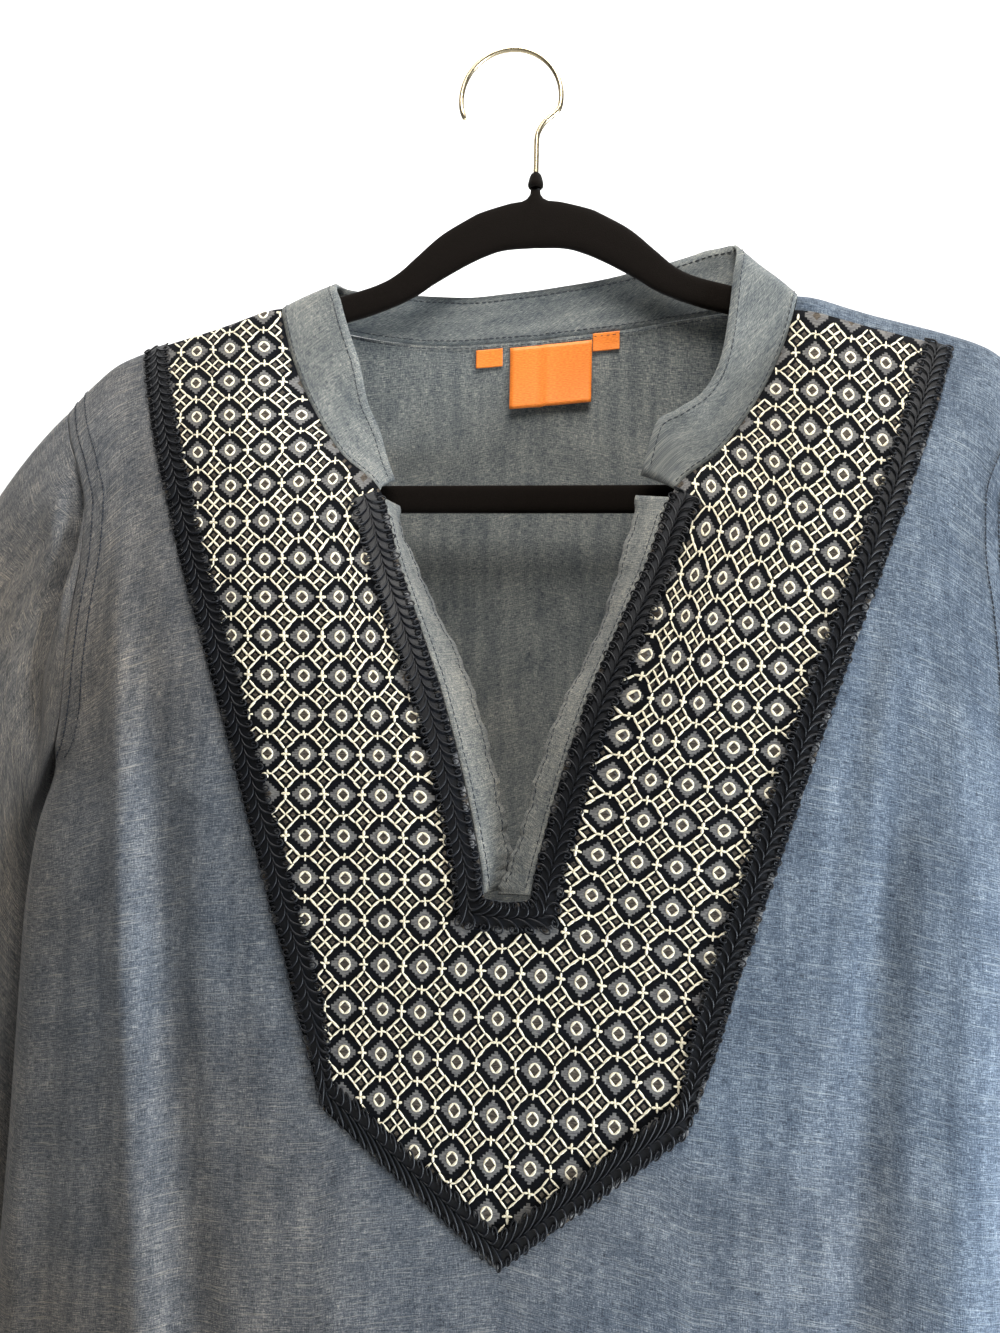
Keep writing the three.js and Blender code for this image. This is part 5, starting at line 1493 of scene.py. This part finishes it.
class StageSettings(bpy.types.PropertyGroup):
    """Floor, paper, lights and sky."""
    floor: size_property("Floor Height", -0.93, "Height of the studio floor")
    paper: colour_property("Paper", "#e9e9e7", "Seamless paper")
    paper_light: colour_property("Paper Light", "#f4f4f2", "Seamless paper on its tooth")
    key: colour_property("Key Light", "#ebf5ff", "Cool soft light from the lower right")
    top: colour_property("Top Light", "#fffcf7", "Warm soft light from above")
    wall: colour_property("Wall Light", "#ffffff", "Light on the backdrop")
    sky: colour_property("Sky", "#f5f4f1", "Even light from all round")
    key_power: FloatProperty(name="Key Power", description="Power of the key light",
                             default=56, min=0, unit="POWER")
    top_power: FloatProperty(name="Top Power", description="Power of the top light",
                             default=14, min=0, unit="POWER")
    wall_power: FloatProperty(name="Wall Power", description="Power of the wall light",
                              default=44, min=0, unit="POWER")
    sky_strength: FloatProperty(name="Sky Strength", description="Strength of the sky",
                                default=0.15, min=0, subtype="FACTOR")


def sizes(context, names):
    """Sizes of the tunic by name, in mm."""
    return [round(getattr(context.scene.tunic, name) / MM, 4) for name in names.split()]


MADE = {}


def shared(context, name, make, colours, *rest, before=()):
    """A material of the named colours, made once."""
    if name not in MADE:
        found = context.scene.tunic_colours
        MADE[name] = make(*before, *(tuple(getattr(found, key)) for key in colours.split()),
                          *rest)
    return MADE[name]


def chambray(context):
    """The outer face of the cloth."""
    return shared(context, "chambray", chambray_material,
                  "cloth_dark cloth_mid cloth_light cloth_fleck cloth_warm cloth_cool",
                  12, 0.45)


def facing(context):
    """The same chambray as a lighter, greyer copy, for the back, collar and strips. This copy is
    painted light: its tone stands for the light in the neck's shade, so from behind the back
    is greyer than the sleeves."""
    return shared(context, "facing", chambray_material,
                  "facing_dark facing_mid facing_light facing_fleck facing_warm facing_cool",
                  8, 0.3)


# ---------------------------------------------------------------- operators
class TUNIC_OT_body(bpy.types.Operator):
    """Front, back and sleeves."""
    bl_idname, bl_label = "tunic.body", "Body and Sleeves"

    def execute(self, context):
        cloth, = sizes(context, "cloth")
        front = build_front(chambray(context), cloth)
        # The back takes the lighter, greyer copy of the chambray, painted light for the neck.
        back = build_back(facing(context), cloth)
        left, right = (build_sleeve(side, chambray(context), cloth) for side in (-1, 1))
        return {"FINISHED"}


class TUNIC_OT_collar(bpy.types.Operator):
    """Stand collar and the binding strips of the opening."""
    bl_idname, bl_label = "tunic.collar", "Collar and Strips"

    def execute(self, context):
        thick, thin = sizes(context, "collar strip")
        # Collar and strips take the same painted-light copy of the chambray as the back.
        collar = build_collar(facing(context), thick)
        for side in (-1, 1):
            strip = build_strip(side, facing(context), thin)
        return {"FINISHED"}


class TUNIC_OT_bib(bpy.types.Operator):
    """Embroidered bib and its braids."""
    bl_idname, bl_label = "tunic.bib", "Bib and Braids"

    def execute(self, context):
        cloth, pitch = sizes(context, "cloth braid_pitch")
        ground = shared(context, "bib", embroidery_material,
                        "grey_dark grey navy navy_light brown brown_light")
        bib = build_bib(ground, cloth)
        gimp = shared(context, "gimp", thread_material, "gimp gimp_light", 0.5, 0.5, 0.35,
                      before=("Rayon gimp cord",))
        outer, inner = (build_braid(kind, gimp, pitch) for kind in ("outer", "inner"))
        floss = shared(context, "floss", thread_material, "floss floss_light", 0.6,
                       before=("Cream floss",))
        threads = build_embroidery(floss)
        return {"FINISHED"}


class TUNIC_OT_sewing(bpy.types.Operator):
    """Topstitching of the armholes, collar, strips, neck, hems and cuffs."""
    bl_idname, bl_label = "tunic.sewing", "Sewing"

    def execute(self, context):
        thread = shared(context, "sewing", thread_material, "sewing sewing_light", 0.4,
                        before=("Navy sewing thread",))
        plain = sizes(context, "stitch gap thread")
        coarse = sizes(context, "armhole_stitch armhole_gap armhole_thread")
        for name, lines, measures in (
                ("armhole", armhole_lines(), coarse), ("collar", collar_lines(), plain),
                ("strip", strip_lines(), plain), ("hem", hem_lines(), plain),
                ("neck", neck_lines(), plain)):
            build_stitches(name + "_topstitch", lines, thread, *measures)
        return {"FINISHED"}


class TUNIC_OT_labels(bpy.types.Operator):
    """Bare woven labels in the back neck seam."""
    bl_idname, bl_label = "tunic.labels", "Neck Labels"

    def execute(self, context):
        thickness, = sizes(context, "label")
        tape = shared(context, "label", label_material, "label_dark label")
        for name, size in LABELS.items():
            label = build_label(name, tape, thickness)
        return {"FINISHED"}


class TUNIC_OT_hanger(bpy.types.Operator):
    """Velvet hanger, its ferrule and its wire hook."""
    bl_idname, bl_label = "tunic.hanger", "Hanger"

    def execute(self, context):
        wire, = sizes(context, "wire")
        velvet = shared(context, "velvet", velvet_material, "velvet velvet_bloom")
        build_hanger(velvet)
        build_ferrule(velvet)
        build_hook(shared(context, "wire", wire_material, "wire"), wire)
        return {"FINISHED"}


class TUNIC_OT_stage(bpy.types.Operator):
    """Camera, pale sweep, soft lights and sky."""
    bl_idname, bl_label = "tunic.stage", "Stage"

    def execute(self, context):
        scene, stage = context.scene, context.scene.tunic_stage
        scene.view_settings.view_transform = "Standard"
        add_camera()
        paper = studio_material(tuple(stage.paper), tuple(stage.paper_light))
        build_backdrop(paper, stage.floor)
        for name, place, aim, size in LIGHTS:
            add_light(name.title(), place, aim, size, getattr(stage, name + "_power"),
                      tuple(getattr(stage, name))[:3])
        scene.world = bpy.data.worlds.new("Sky")
        scene.world.use_nodes = True
        sky = scene.world.node_tree.nodes["Background"]
        sky.inputs["Color"].default_value = tuple(stage.sky)
        sky.inputs["Strength"].default_value = stage.sky_strength
        return {"FINISHED"}


class TUNIC_PT_pieces(bpy.types.Panel):
    """Lists the sizes, colours and pieces in the sidebar."""
    bl_idname, bl_label = "TUNIC_PT_pieces", "Tunic"
    bl_space_type, bl_region_type, bl_category = "VIEW_3D", "UI", "Tunic"

    def draw(self, context):
        for attribute, group in GROUPS.items():
            for name in group.__annotations__:
                self.layout.prop(getattr(context.scene, attribute), name)
        for operator in OPERATORS:
            self.layout.operator(operator.bl_idname)


GROUPS = {"tunic": TunicSizes, "tunic_colours": TunicColours, "tunic_stage": StageSettings}
OPERATORS = (TUNIC_OT_body, TUNIC_OT_collar, TUNIC_OT_bib, TUNIC_OT_sewing,
             TUNIC_OT_labels, TUNIC_OT_hanger, TUNIC_OT_stage)
CLASSES = (*GROUPS.values(), *OPERATORS, TUNIC_PT_pieces)


def register():
    """Register the classes and hang the settings on the scene."""
    for cls in CLASSES:
        bpy.utils.register_class(cls)
    for attribute, group in GROUPS.items():
        setattr(bpy.types.Scene, attribute, PointerProperty(type=group))


def unregister():
    """Undo register."""
    for attribute in GROUPS:
        delattr(bpy.types.Scene, attribute)
    for cls in reversed(CLASSES):
        bpy.utils.unregister_class(cls)


def main():
    """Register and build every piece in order."""
    register()
    for operator in OPERATORS:
        group, name = operator.bl_idname.split(".")
        getattr(getattr(bpy.ops, group), name)()


if __name__ == "__main__":
    main()
